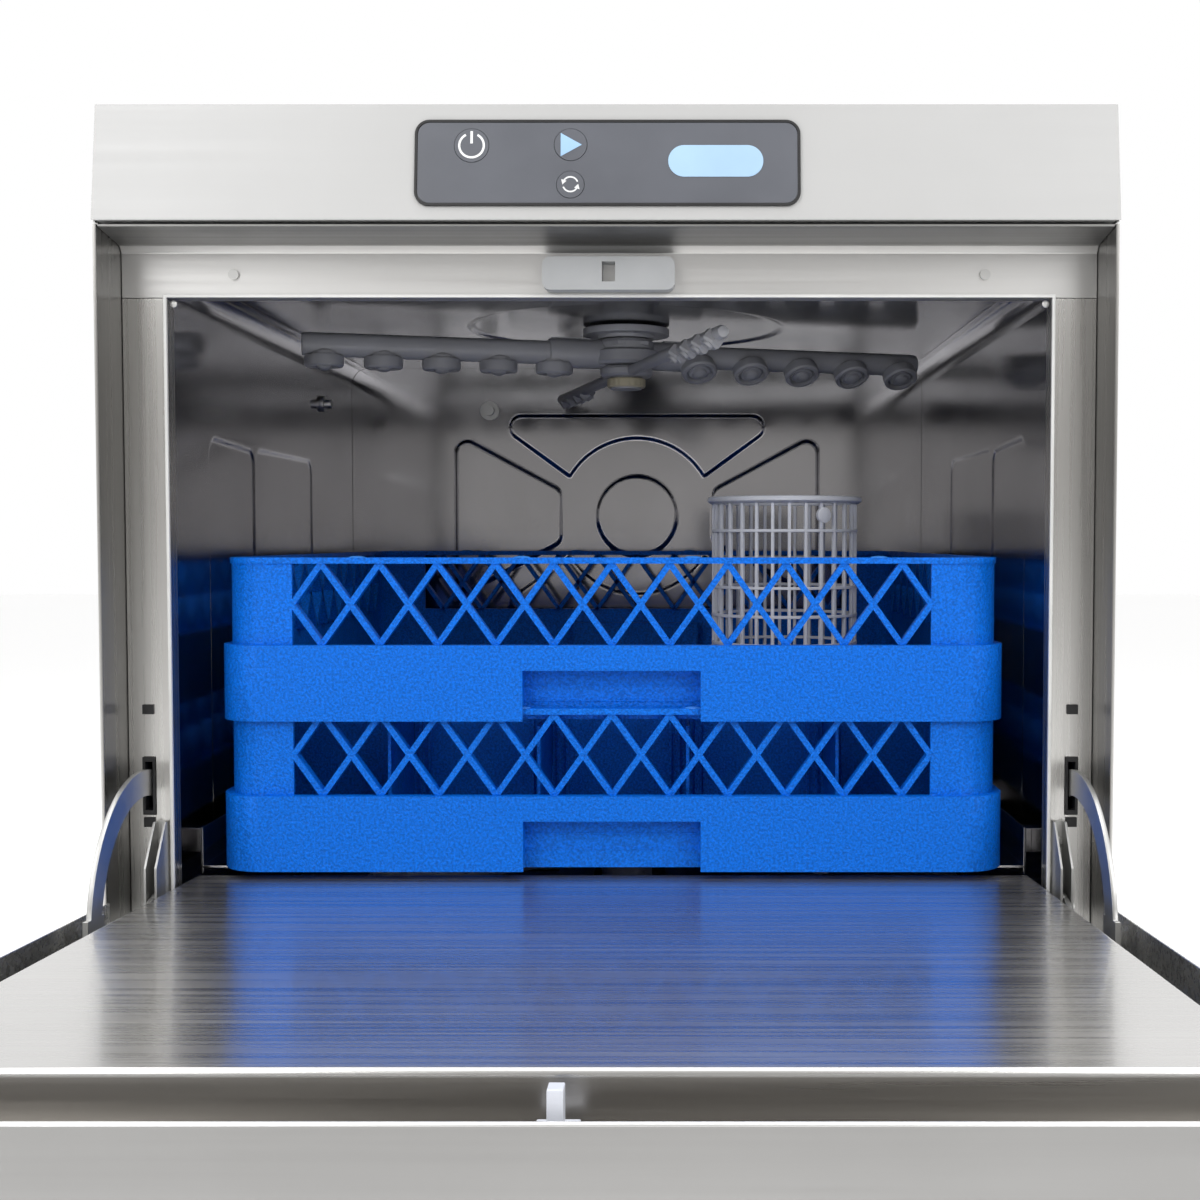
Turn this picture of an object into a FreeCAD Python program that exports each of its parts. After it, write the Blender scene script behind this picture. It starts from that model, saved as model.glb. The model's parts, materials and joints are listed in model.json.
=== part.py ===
"""Undercounter glass washer: a stainless cabinet with a drop-down door, two 500 mm racks and a
cutlery basket inside, wash and rinse arms above and below, and the wet parts under the tank.

Frame: +X to the user's right, +Y to the back of the machine, +Z up, the floor at Z = 0. The origin
is the middle of the floor space that the machine takes with its door open. "deck" heights are
measured up from the level of the rack bottoms. The door's pieces are drawn about their own hinge
axis, lying flat, and are raised by the few degrees that the door keeps when it is open.
"""
import FreeCAD, Part
import math
import os
import re
import Sketcher

DIMENSIONS = {
    # cabinet
    "body_w": 600, "body_d": 620, "body_h": 820, "foot_h": 30, "front_y": -134, "deck_z": 350,
    "side_t": 2.2, "skin_t": 1.2, "frame_t": 1.5, "rim_top": 399, "recess_d": 38.6,
    "fascia_low": 401, "fascia_slant": 9,
    # door opening and wash chamber
    "open_half": 270, "open_top": 362, "header_top": 389, "sill_drop": 62, "lower_top": 42,
    "wall_half": 277.4, "ceiling": 380, "cove": 14, "back_wall": 582, "tank_deep": 190,
    # door, about its hinge axis
    "axis_back": 23.6, "axis_drop": 10, "door_tilt": 3, "door_half": 294, "panel_half": 267,
    "panel_top": 12, "panel_front": 366, "panel_tail": 48, "door_len": 398, "door_under": 20.6,
    "channel_floor": -8, "lip_top": 3, "handle_low": 45, "pin_r": 3.95, "pin_bore_r": 4,
    "bracket_in": 273, "bracket_out": 281, "lug_in": 275.5, "lug_out": 278.5,
    "arm_in": 283.5, "arm_out": 286.5, "arm_r": 76, "arm_w": 16, "arm_start": 50, "arm_end": 176,
    "slot_low": 44.5, "slot_high": 80.5, "slot_half": 4, "slot_x": 285,
    # racks and basket
    "rack_w": 500, "rack_h": 103, "rack_pitch": 95.3, "rack_front": 55, "rack_gap": 5,
    "skirt_h": 9.3, "skirt_t": 1.9, "rack_inset": 4.6, "rack_t": 3, "rim_t": 8, "grid_h": 5,
    "lattice_pitch": 36.6, "lattice_w": 4.6, "band_h": 47.9, "window_top": 99.2, "window_pitches": 11,
    "grip_w": 112, "grip_h": 32, "grip_deep": 16, "divider_half": 228, "divider_t": 2.4,
    "divider_top": 90, "cell": 96, "basket_x": 120, "basket_y": 229, "basket_r": 54, "basket_h": 131,
    "basket_t": 2.4,
    # spray arms
    "hub_y": 310, "spindle_r": 12, "spindle_bore_r": 12.05, "spray_turn": 16.6, "wash_half": 250,
    "rinse_half": 250, "low_wash_half": 230, "low_rinse_half": 224, "nozzle_r": 13,
    # control panel
    "panel_x": 0.8, "panel_z": 434.5, "overlay_w": 222.4, "overlay_h": 48.6, "bezel_w": 1.6,
    "overlay_r": 7, "button_gap": 0.3,
    # services on the back
    "service_z": 95, "inlet_r": 13.2, "inlet_x": -200, "drain_r": 14, "drain_x": -110,
    "gland_r": 12, "gland_x": 200,
    # tank fittings
    "post_x": 200, "post_r": 14, "suction_x": -60, "suction_r": 17, "sump_y": 480, "pipe_r": 12,
    "riser_y": 601, "pump_y": 300, "boiler_y": 420, "drain_pump_y": 200,
}

doc = FreeCAD.newDocument("glass_washer")
table = doc.addObject("Spreadsheet::Sheet", "Dim")
for row, (alias, value) in enumerate(DIMENSIONS.items(), start=1):
    table.set(f"A{row}", alias)
    table.set(f"B{row}", str(value))
    table.setAlias(f"B{row}", alias)
doc.recompute()

NODES = {}
X_AXIS = FreeCAD.Vector(1, 0, 0)
Y_AXIS = FreeCAD.Vector(0, 1, 0)
Z_AXIS = FreeCAD.Vector(0, 0, 1)


# ---------------------------------------------------------------- tools for writing the model
def bound(text):
    """The expression for the sheet: every alias gets the sheet's name in front of it."""
    return re.sub(r"[a-z][a-z_]*[a-z]", lambda word: f"Dim.{word[0]}" if word[0] in DIMENSIONS
                  else word[0], str(text))


def size(name):
    return float(table.get(name))


def node(name, thing):
    """Names a finished sub-part."""
    thing.Label = name
    NODES[name] = thing
    return thing


def box(x, y, z):
    """A block from three (low, high) pairs of expressions."""
    block = doc.addObject("Part::Box", "block")
    for length, axis, (low, high) in (("Length", "x", x), ("Width", "y", y), ("Height", "z", z)):
        block.setExpression(length, bound(f"({high}) - ({low})"))
        block.setExpression(f"Placement.Base.{axis}", bound(low))
    return block


def sided(side, x, y, z):
    """The same block on the right (side 1) or mirrored to the left (side -1)."""
    low, high = x
    return box((low, high) if side > 0 else (f"-({high})", f"-({low})"), y, z)


def rod(radius, base, length, axis="z"):
    """A cylinder from its base point, along an axis."""
    bar = doc.addObject("Part::Cylinder", "rod")
    turns = {"x": (Y_AXIS, 90), "y": (X_AXIS, -90), "z": (Z_AXIS, 0)}
    bar.Placement = FreeCAD.Placement(FreeCAD.Vector(), FreeCAD.Rotation(*turns[axis]))
    bar.setExpression("Radius", bound(radius))
    bar.setExpression("Height", bound(length))
    for name, value in zip("xyz", base):
        bar.setExpression(f"Placement.Base.{name}", bound(value))
    return bar


def fuse(*parts):
    if len(parts) == 1:
        return parts[0]
    whole = doc.addObject("Part::MultiFuse", "fusion")
    whole.Shapes = list(parts)
    whole.Refine = True
    return whole


def cut(base, *tools):
    rest = doc.addObject("Part::Cut", "cut")
    rest.Base = base
    rest.Tool = fuse(*tools)
    rest.Refine = True
    return rest


def group(*parts):
    """Several solids that share one node."""
    whole = doc.addObject("Part::Compound", "group")
    whole.Links = list(parts)
    return whole


def rounded(block, radius, axis):
    """A block with its four edges along an axis rounded."""
    doc.recompute()
    edges = []
    for index, edge in enumerate(block.Shape.Edges, start=1):
        along = (edge.Vertexes[1].Point - edge.Vertexes[0].Point).normalize()
        if abs(along.dot(axis)) > 0.99:
            edges.append((index, radius, radius))
    soft = doc.addObject("Part::Fillet", "rounded")
    soft.Base = block
    soft.Edges = edges
    return soft


def prism(plane, points, low, high):
    """A PartDesign body: a closed outline on an origin plane, padded from low to high."""
    body = doc.addObject("PartDesign::Body", "body")
    sketch = body.newObject("Sketcher::SketchObject", "outline")
    role = {"yz": "YZ_Plane", "xz": "XZ_Plane", "xy": "XY_Plane"}[plane]
    origin = next(o for o in body.Origin.OriginFeatures if o.Role == role)
    sketch.AttachmentSupport = [(origin, "")]
    sketch.MapMode = "FlatFace"
    values = [(worth(u), worth(v)) for u, v in points]
    count = len(points)
    for here in range(count):
        start = FreeCAD.Vector(*values[here], 0)
        stop = FreeCAD.Vector(*values[(here + 1) % count], 0)
        sketch.addGeometry(Part.LineSegment(start, stop), False)
    for here in range(count):
        sketch.addConstraint(Sketcher.Constraint("Coincident", here, 2, (here + 1) % count, 1))
    for here, (point, value) in enumerate(zip(points, values)):
        for kind, text, number in (("DistanceX", point[0], value[0]),
                                   ("DistanceY", point[1], value[1])):
            made = sketch.addConstraint(Sketcher.Constraint(kind, -1, 1, here, 1, number))
            sketch.renameConstraint(made, f"{kind[-1].lower()}_{here}")
            sketch.setExpression(f"Constraints.{kind[-1].lower()}_{here}", bound(text))
    pad = body.newObject("PartDesign::Pad", "pad")
    pad.Profile = sketch
    pad.setExpression("Length", bound(f"({high}) - ({low})"))
    axis = {"yz": "x", "xz": "y", "xy": "z"}[plane]
    pad.Reversed = plane == "xz"
    body.setExpression(f"Placement.Base.{axis}", bound(low))
    return body


def worth(text):
    """The number that an expression of aliases comes to."""
    words = re.sub(r"[a-z][a-z_]*[a-z]", lambda word: f"({size(word[0])})", str(text))
    return float(table.evalExpression(words))


def sector(inner, outer, start, stop, low, high):
    """Part of a ring about the X axis; angles turn from +Y towards +Z."""
    wheels = []
    for radius in (outer, inner):
        wheel = doc.addObject("Part::Cylinder", "sector")
        turn = FreeCAD.Rotation(X_AXIS, worth(start) + 90) * FreeCAD.Rotation(Y_AXIS, 90)
        wheel.Placement = FreeCAD.Placement(FreeCAD.Vector(), turn)
        wheel.setExpression("Radius", bound(radius))
        wheel.setExpression("Height", bound(f"({high}) - ({low})"))
        wheel.setExpression("Placement.Base.x", bound(low))
        wheels.append(wheel)
    wheels[0].setExpression("Angle", bound(f"({stop}) - ({start})"))
    return cut(*wheels)


def on_door(thing):
    """Sets a piece drawn about the hinge axis where the open door holds it."""
    thing.Placement = FreeCAD.Placement(FreeCAD.Vector(), FreeCAD.Rotation(X_AXIS, -size("door_tilt")))
    thing.setExpression("Placement.Base.y", bound("front_y + axis_back"))
    thing.setExpression("Placement.Base.z", bound("deck_z - axis_drop"))
    return thing


def on_fascia(thing):
    """Sets a piece drawn on the XZ plane against the slanted control fascia."""
    lean = math.degrees(math.atan2(size("fascia_slant"), FASCIA_H))
    rise = (size("panel_z") - size("fascia_low")) / FASCIA_H
    thing.Placement = FreeCAD.Placement(FreeCAD.Vector(), FreeCAD.Rotation(X_AXIS, -lean))
    thing.setExpression("Placement.Base.x", bound("panel_x"))
    thing.setExpression("Placement.Base.y", bound(f"front_y - 1 + fascia_slant * {rise}"))
    thing.setExpression("Placement.Base.z", bound("deck_z + panel_z"))
    return thing


def turned(thing, angle, base):
    """Turns a piece drawn about its own vertical axis and sets that axis at base."""
    thing.Placement = FreeCAD.Placement(FreeCAD.Vector(), FreeCAD.Rotation(Z_AXIS, angle))
    for name, value in zip("xyz", base):
        thing.setExpression(f"Placement.Base.{name}", bound(value))
    return thing


SIDES = (-1, 1)
FASCIA_H = size("body_h") - size("deck_z") - size("fascia_low")
INNER_HALF = "body_w / 2 - side_t - 0.3"
FRAME = "front_y + recess_d"
REAR = "front_y + body_d"
GRID = range(-6, 7)
RACK_CORNER = 27


# ---------------------------------------------------------------- cabinet
def make_cabinet():
    tray_y = ("front_y + 4", f"{REAR} - 2")
    tray = box((f"-({INNER_HALF})", INNER_HALF), tray_y, ("foot_h", "foot_h + 40"))
    hollow = box((f"-({INNER_HALF}) + frame_t", f"{INNER_HALF} - frame_t"),
                 ("front_y + 4 + frame_t", f"{REAR} - 2 - frame_t"),
                 ("foot_h + frame_t", "foot_h + 41"))
    node("base_tray", cut(tray, hollow))

    feet = []
    for side in SIDES:
        for y in ("front_y + 60", f"{REAR} - 60"):
            at = (f"{side} * (body_w / 2 - 55)", y)
            feet.append(fuse(rod(22, (*at, 0), 8), rod(6, (*at, 8), "foot_h - 8"),
                             rod(11, (*at, 14), 6)))
    node("feet", group(*feet))

    panels = [sided(side, ("body_w / 2 - side_t", "body_w / 2"), ("front_y", REAR),
                    ("foot_h + 8", "deck_z + rim_top")) for side in SIDES]
    node("side_panels", group(*panels))

    sheet = box((f"-({INNER_HALF})", INNER_HALF), (f"{REAR} - skin_t", REAR),
                ("foot_h + 8", "deck_z + rim_top - 1"))
    holes = [rod(radius, (x, f"{REAR} - 5", "service_z"), 10, "y")
             for x, radius in (("inlet_x", "inlet_r + 0.3"), ("drain_x", "drain_r + 0.3"),
                               ("gland_x", "gland_r + 0.3"))]
    for side in SIDES:
        for step in range(6):
            z = f"deck_z + {300 + 12 * step}"
            holes.append(sided(side, (150, 230), (f"{REAR} - 5", f"{REAR} + 5"), (z, f"{z} + 4")))
    node("rear_panel", cut(sheet, *holes))

    low = "deck_z + fascia_low - 1"
    cheek = [("front_y + 1.2", low), (REAR, low), (REAR, "body_h"),
             ("front_y + fascia_slant + 1.2", "body_h")]
    cheeks = [prism("yz", cheek, f"{x} * body_w / 2 {shift}", f"{x} * body_w / 2 {shift} + skin_t")
              for x, shift in ((-1, "+ 0"), (1, "- skin_t"))]
    lid = box(("-body_w / 2", "body_w / 2"), ("front_y + fascia_slant + 1.2", REAR),
              ("body_h - skin_t", "body_h"))
    tail = box(("-body_w / 2", "body_w / 2"), (f"{REAR} - skin_t", REAR), (low, "body_h"))
    node("top_cover", fuse(lid, tail, *cheeks))

    foot = "deck_z + fascia_low"
    outline = [("front_y - 1", foot), ("front_y + 0.2", foot),
               ("front_y + fascia_slant + 0.2", "body_h"), ("front_y + fascia_slant - 1", "body_h")]
    slope = prism("yz", outline, "-body_w / 2 - 0.4", "body_w / 2 + 0.4")
    lip = box(("-body_w / 2 + skin_t + 0.3", "body_w / 2 - skin_t - 0.3"), ("front_y - 0.9", "front_y + 14"),
              (foot, f"{foot} + skin_t"))
    face = fuse(slope, lip)
    window = box(("panel_x - overlay_w / 2 + 6", "panel_x + overlay_w / 2 - 6"),
                 ("front_y - 20", "front_y + 30"),
                 ("deck_z + panel_z - overlay_h / 2 + 2", "deck_z + panel_z + overlay_h / 2 - 2"))
    node("control_fascia", cut(face, window))

    top = "deck_z - lower_top"
    panel = box((f"-({INNER_HALF})", INNER_HALF), ("front_y + 0.3", "front_y + 0.3 + skin_t"),
                ("foot_h + 12", top))
    lips = [box((f"-({INNER_HALF})", INNER_HALF), ("front_y + 0.3", "front_y + 20"),
                (z, f"{z} + skin_t")) for z in ("foot_h + 41", f"{top} - skin_t")]
    node("lower_front_panel", fuse(panel, *lips))


# ---------------------------------------------------------------- control panel
def make_controls():
    half_w, half_h = "overlay_w / 2", "overlay_h / 2"
    radius = size("overlay_r")
    outer = rounded(box((f"-({half_w}) - bezel_w", f"{half_w} + bezel_w"), (-1.6, 0),
                        (f"-({half_h}) - bezel_w", f"{half_h} + bezel_w")),
                    radius + size("bezel_w"), Y_AXIS)
    inner = rounded(box((f"-({half_w})", half_w), (-2, 1), (f"-({half_h})", half_h)), radius, Y_AXIS)
    node("overlay_bezel", on_fascia(cut(outer, inner)))

    plate = rounded(box((f"-({half_w}) + 0.2", f"{half_w} - 0.2"), (-1.2, 0),
                        (f"-({half_h}) + 0.2", f"{half_h} - 0.2")), radius, Y_AXIS)
    buttons = {"power_button": (-79.5, 10.3, 10), "start_button": (-21.6, 10.8, 9.5),
               "cycle_button": (-21.6, -13.2, 8)}
    wells = [rod(f"{r} + button_gap", (x, -3, z), 8, "y") for x, z, r in buttons.values()]
    node("control_overlay", on_fascia(cut(plate, *wells)))
    for name, (x, z, r) in buttons.items():
        cap = fuse(rod(r, (x, -1.4, z), 2.4, "y"), rod(3, (x, 1, z), 1, "y"))
        node(name, on_fascia(cap))

    label = rounded(box((35.5, 91), (-1.5, -1.2), (-8.5, 10.5)), 9.4, Y_AXIS)
    node("label_plate", on_fascia(label))

    board = box((-100, 100), (6, 7.6), (-19, 19))
    parts = [box((x - 4, x + 4), (3, 6), (z - 4, z + 4)) for x, z, r in buttons.values()]
    parts += [box((x, x + 22), (7.6, 20), (-12, 8)) for x in (10, 40, 70)]
    node("control_board", on_fascia(fuse(board, *parts)))


# ---------------------------------------------------------------- door frame
def make_front_frame():
    face, back = FRAME, f"{FRAME} + frame_t"
    top = "deck_z + open_top"
    outline = [(face, top), (face, "deck_z + header_top"), (f"{face} - 3.6", "deck_z + header_top + 4"),
               ("front_y + 1", "deck_z + rim_top - 1.5"), ("front_y + 1", "deck_z + rim_top"),
               (f"{face} - 3", "deck_z + header_top + 5.6"), (back, "deck_z + header_top + 1"),
               (back, f"{top} + skin_t"), (f"{back} + 11", f"{top} + skin_t"), (f"{back} + 11", top)]
    node("header_panel", prism("yz", outline, f"-({INNER_HALF})", INNER_HALF))

    jambs = []
    for side in SIDES:
        low, high = "deck_z - sill_drop - 40", f"{top} - 0.4"
        plate = sided(side, ("open_half", INNER_HALF), (face, back), (low, high))
        fold = sided(side, ("open_half", "open_half + skin_t"), (face, f"{back} + 11"),
                     ("deck_z - sill_drop", high))
        slot = sided(side, ("slot_x - slot_half", "slot_x + slot_half"), (f"{face} - 5", f"{face} + 9"),
                     ("deck_z + slot_low", "deck_z + slot_high"))
        jambs.append(cut(fuse(plate, fold), slot))
    node("door_jambs", group(*jambs))

    sill = box(("-open_half + 0.3", "open_half - 0.3"), (face, back),
               ("deck_z - sill_drop - 40", "deck_z - sill_drop"))
    ledge = box(("-open_half + 0.3", "open_half - 0.3"), (face, f"{back} + 11"),
                ("deck_z - sill_drop - skin_t", "deck_z - sill_drop"))
    node("front_sill", fuse(sill, ledge))

    proud = (f"{face} - 2.2", face)
    strips = [sided(side, ("open_half", "open_half + 2"), proud, ("deck_z - sill_drop", f"{top} + 2"))
              for side in SIDES]
    strips.append(box(("-open_half - 2", "open_half + 2"), proud, (top, f"{top} + 2")))
    node("opening_seal", fuse(*strips))

    block = rounded(box((-40, 40), (f"{face} - 12", face), ("deck_z + 365", "deck_z + 385")), 5, Y_AXIS)
    keyhole = box((-4, 4), (f"{face} - 20", f"{face} + 1"), ("deck_z + 370", "deck_z + 382"))
    node("latch_striker", cut(block, keyhole))

    screws = [rod(3.2, (x, f"{face} - 1.6", "deck_z + 376"), 1.6, "y") for x in (-229, 229)]
    for x in (-270, -90, 90, 270):
        for z in ("foot_h + 20", "deck_z + rim_top - 12"):
            screws.append(rod(4, (x, REAR, z), 1.8, "y"))
    node("panel_screws", group(*screws))

    brackets = []
    pins = []
    guides = []
    axis_y, axis_z = "front_y + axis_back", "deck_z - axis_drop"
    for side in SIDES:
        plate = sided(side, ("bracket_in", "bracket_out"), (f"{face} - frame_t", face),
                      ("deck_z - 45", "deck_z + 41"))
        ear = [(f"{face} - 1", "deck_z + 41"), (f"{face} - 6.6", "deck_z + 41"),
               (f"{face} - 24", "deck_z + 16"), (f"{face} - 24", "deck_z - 19"),
               (f"{face} - 1", "deck_z - 19")]
        ears = []
        for low in ("bracket_in", "bracket_out - frame_t"):
            x = low if side > 0 else f"-({low}) - frame_t"
            ears.append(prism("yz", ear, x, f"{x} + frame_t"))
        bore = rod("pin_bore_r", ("bracket_in - 2" if side > 0 else "-bracket_out - 2", axis_y, axis_z),
                   "bracket_out - bracket_in + 4", "x")
        brackets.append(cut(fuse(plate, *ears), bore))
        start = "bracket_in - 1" if side > 0 else "-bracket_out - 1.2"
        head = "bracket_out + 0.2" if side > 0 else "-bracket_out - 1.7"
        pins.append(fuse(rod("pin_r", (start, axis_y, axis_z), "bracket_out - bracket_in + 2.2", "x"),
                         rod(6, (head, axis_y, axis_z), 1.5, "x")))
        ring = sided(side, ("slot_x - slot_half + 0.1", "slot_x + slot_half - 0.1"),
                     (f"{face} - 1.2", f"{face} + 6"),
                     ("deck_z + slot_low + 0.1", "deck_z + slot_high - 0.1"))
        gap = sided(side, ("arm_in - 0.8", "arm_out + 0.8"), (f"{face} - 2", f"{face} + 7"),
                    ("deck_z + slot_low + 3", "deck_z + slot_high - 3"))
        guides.append(cut(ring, gap))
        for z in (37, 107):
            guides.append(sided(side, ("slot_x - 3.5", "slot_x + 3.5"), (f"{face} - 1.2", face),
                                (f"deck_z + {z}", f"deck_z + {z} + 6")))
    node("hinge_brackets", group(*brackets))
    node("hinge_pins", group(*pins))
    node("arm_guides", group(*guides))


# ---------------------------------------------------------------- wash chamber and tank
def make_chamber():
    face, back = f"{FRAME} + frame_t", "front_y + back_wall"
    behind = f"{face} + 11.2"
    floor, top = "deck_z - sill_drop", "deck_z + ceiling"
    for side, name in zip(SIDES, ("chamber_left_wall", "chamber_right_wall")):
        outline = [(f"{side} * wall_half", floor), (f"{side} * wall_half", f"{top} - cove - 2"),
                   (f"{side} * (wall_half - 4)", f"{top} - 5"), (f"{side} * (wall_half - cove)", top),
                   (f"{side} * (wall_half - cove)", f"{top} + skin_t"),
                   (f"{side} * (wall_half - 3)", f"{top} - 4"),
                   (f"{side} * (wall_half + skin_t)", f"{top} - cove - 1.6"),
                   (f"{side} * (wall_half + skin_t)", floor)]
        node(name, prism("xz", outline, behind, back))
    node("chamber_ceiling", box(("-wall_half + cove", "wall_half - cove"), (face, back),
                                (top, f"{top} + skin_t")))
    sheet = box(("-wall_half - skin_t", "wall_half + skin_t"), (back, f"{back} + skin_t"),
                (floor, f"{top} + skin_t"))
    node("chamber_back_wall", sheet)

    jets = [fuse(rod(9, (-143, f"{back} - 3", "deck_z + 339"), 3, "y"),
                 rod(5, (-143, f"{back} - 10", "deck_z + 339"), 7, "y")),
            fuse(rod(7, ("-wall_half", "front_y + 460", "deck_z + 335"), 3, "x"),
                 rod(4, ("-wall_half + 3", "front_y + 460", "deck_z + 335"), 6, "x"))]
    node("chamber_nozzles", group(*jets))

    bottom = "deck_z - tank_deep"
    shell = box(("-wall_half - skin_t", "wall_half + skin_t"), (face, f"{back} + skin_t"),
                (bottom, f"{floor} - skin_t - 0.2"))
    inside = box(("-wall_half", "wall_half"), (f"{face} + frame_t", back),
                 (f"{bottom} + frame_t", f"{floor} + 1"))
    ledges = [sided(side, ("wall_half - 16", "wall_half + 0.5"), (f"{face} + 20", f"{back} - 10"),
                    (f"{floor} - 6.2", f"{floor} - 5")) for side in SIDES]
    drain = rod("post_r", ("post_x", "front_y + sump_y", f"{bottom} - 1"), 5)
    feed = rod(14, (0, "front_y + hub_y", f"{bottom} - 1"), 5)
    suction = rod("suction_r + 3", ("suction_x", "front_y + sump_y", f"{bottom} - 1"), 5)
    node("wash_tank", cut(fuse(cut(shell, inside), *ledges), drain, feed, suction))

    plates = []
    for side in SIDES:
        plate = sided(side, (30, "wall_half - 3"), (f"{face} + 14", f"{back} - 4"),
                      (f"{floor} - 5", f"{floor} - 3.8"))
        holes = [rod(24, ("post_x", "front_y + sump_y", f"{floor} - 9"), 12)] if side > 0 else []
        for step in range(9):
            y = f"front_y + {80 + 42 * step}"
            holes.append(sided(side, (60, 240), (y, f"{y} + 12"), (f"{floor} - 9", f"{floor} + 2")))
        plates.append(cut(plate, *holes))
    node("tank_strainers", group(*plates))

    at = ("post_x", "front_y + sump_y")
    tube = cut(rod("post_r", (*at, f"{bottom} - 14"), "tank_deep - 72"),
               rod(11, (*at, f"{bottom} - 15"), "tank_deep - 74"))
    cap = fuse(rod(19, (*at, "deck_z - 76"), 6), rod(6, (*at, "deck_z - 72"), 22))
    node("overflow_standpipe", fuse(tube, cap))

    level = "deck_z - 150"
    legs = [rod(4.5, (x, "front_y + 120", level), "back_wall - 120", "y") for x in (-230, -170)]
    bend = doc.addObject("Part::Torus", "bend")
    bend.Radius1 = 30
    bend.Radius2 = 4.5
    bend.Angle3 = 180
    turned(bend, 180, (-200, "front_y + 120", level))
    flange = rod(38, (-200, f"{back} - 4", level), 4, "y")
    node("tank_heater", fuse(*legs, bend, flange))

    rails = []
    for side in SIDES:
        y = ("front_y + 76", "front_y + back_wall - 6")
        strip = sided(side, (264.5, 266), y, ("deck_z - 1", "deck_z + 29"))
        shelf = sided(side, (240, 266), y, ("deck_z + rack_gap - 2", "deck_z + rack_gap - 0.5"))
        arms = [sided(side, (265, "wall_half"), (f"front_y + {at}", f"front_y + {at} + 14"),
                      ("deck_z + 6", "deck_z + 22")) for at in (110, 310, 510)]
        rails.append(fuse(strip, shelf, *arms))
    node("rack_rails", group(*rails))


# ---------------------------------------------------------------- spray arms
def spray_arm(rise, hub, tubes, jets, reach, count, jet_r):
    """Hub, two tapering tubes and their nozzles about a vertical axis; heights from the deck."""
    body = [rod(hub[2], (0, 0, hub[0]), hub[1] - hub[0])]
    for side in SIDES:
        root, tip = tubes[2], tubes[2] * 0.82
        outline = [(f"{side} * 4", -root), (f"{side} * {reach}", -tip), (f"{side} * {reach}", tip),
                   (f"{side} * 4", root)]
        body.append(prism("xy", outline, tubes[0], tubes[1]))
        for place in range(count):
            x = f"{side} * ({reach} - 16 - {place} * ({reach} - 74) / {count - 1})"
            body.append(rod(jet_r, (x, 0, jets[0]), jets[1] - jets[0]))
    bore = rod("spindle_bore_r", (0, 0, rise - 60), 120)
    return cut(fuse(*body), bore)


def make_sprays():
    hub = (0, "front_y + hub_y", "deck_z")
    angle = size("spray_turn")
    upper = spray_arm(360, (351, 372, 27), (352, 368, 10), (340, 353), "wash_half", 5, "nozzle_r")
    node("upper_wash_arm", turned(upper, angle, hub))
    thin = spray_arm(346, (342, 350.8, 21), (342.5, 350.5, 6.5), (336, 343), "rinse_half", 4, 7.5)
    node("upper_rinse_arm", turned(thin, angle - 90, hub))
    lower = spray_arm(-28, (-38, -17, 27), (-35, -20, 10), (-21, -9), "low_wash_half", 5, "nozzle_r")
    node("lower_wash_arm", turned(lower, angle + 24, hub))
    thin = spray_arm(-12, (-16.8, -8, 21), (-16.5, -8.5, 6.5), (-9, -3), "low_rinse_half", 4, 7.5)
    node("lower_rinse_arm", turned(thin, angle - 66, hub))

    at = hub[:2]
    boss = fuse(rod(34, (*at, "deck_z + ceiling - 5"), 5), rod("spindle_r", (*at, "deck_z + 333"), 44),
                rod(22, (*at, "deck_z + 372.4"), 4))
    node("upper_spindle", boss)
    nut = rod(15.5, (*at, "deck_z + 334"), 7.6)
    node("upper_arm_nut", cut(nut, rod("spindle_r", (*at, "deck_z + 330"), 20)))
    low = "deck_z - tank_deep + frame_t"
    post = fuse(rod(40, (*at, low), 6), rod(20, (*at, low), 146), rod("spindle_r", (*at, low), 183))
    cap = rod(16, (*at, "deck_z - 7.6"), 3.4)
    node("lower_spindle", fuse(post, cap))


# ---------------------------------------------------------------- racks and basket
def rounded_slab(width, radius, low, high):
    """A square slab with round corners, centred on the axis."""
    half = width / 2 - radius
    slab = Part.makeBox(width, 2 * half, high - low, FreeCAD.Vector(-width / 2, -half, low))
    slab = slab.fuse(Part.makeBox(2 * half, width, high - low, FreeCAD.Vector(-half, -width / 2, low)))
    for x in SIDES:
        for y in SIDES:
            at = FreeCAD.Vector(x * half, y * half, low)
            slab = slab.fuse(Part.makeCylinder(radius, high - low, at))
    return slab.removeSplitter()


def lattice_bars(wall_y):
    """The crossed bars of one window, on the plane y = wall_y."""
    pitch, low, high = size("lattice_pitch"), size("band_h"), size("window_top")
    half, width, thick = size("window_pitches") / 2 * pitch, size("lattice_w"), size("rack_t")
    frame = Part.makeBox(2 * half, thick, high - low, FreeCAD.Vector(-half, wall_y, low))
    bars = []
    for count in GRID:
        for lean in SIDES:
            foot, head = count * pitch, (count + lean) * pitch
            corners = [FreeCAD.Vector(foot - width / 2, wall_y, low),
                       FreeCAD.Vector(foot + width / 2, wall_y, low),
                       FreeCAD.Vector(head + width / 2, wall_y, high),
                       FreeCAD.Vector(head - width / 2, wall_y, high)]
            face = Part.Face(Part.makePolygon(corners + corners[:1]))
            bars.append(face.extrude(FreeCAD.Vector(0, thick, 0)))
    return bars[0].multiFuse(bars[1:]).common(frame)


def hollow_slab(width, radius, wall, low, high):
    """A square tube with round corners and walls of one thickness."""
    inner = rounded_slab(width - 2 * wall, radius - wall, low - 1, high + 1)
    return rounded_slab(width, radius, low, high).cut(inner)


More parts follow.
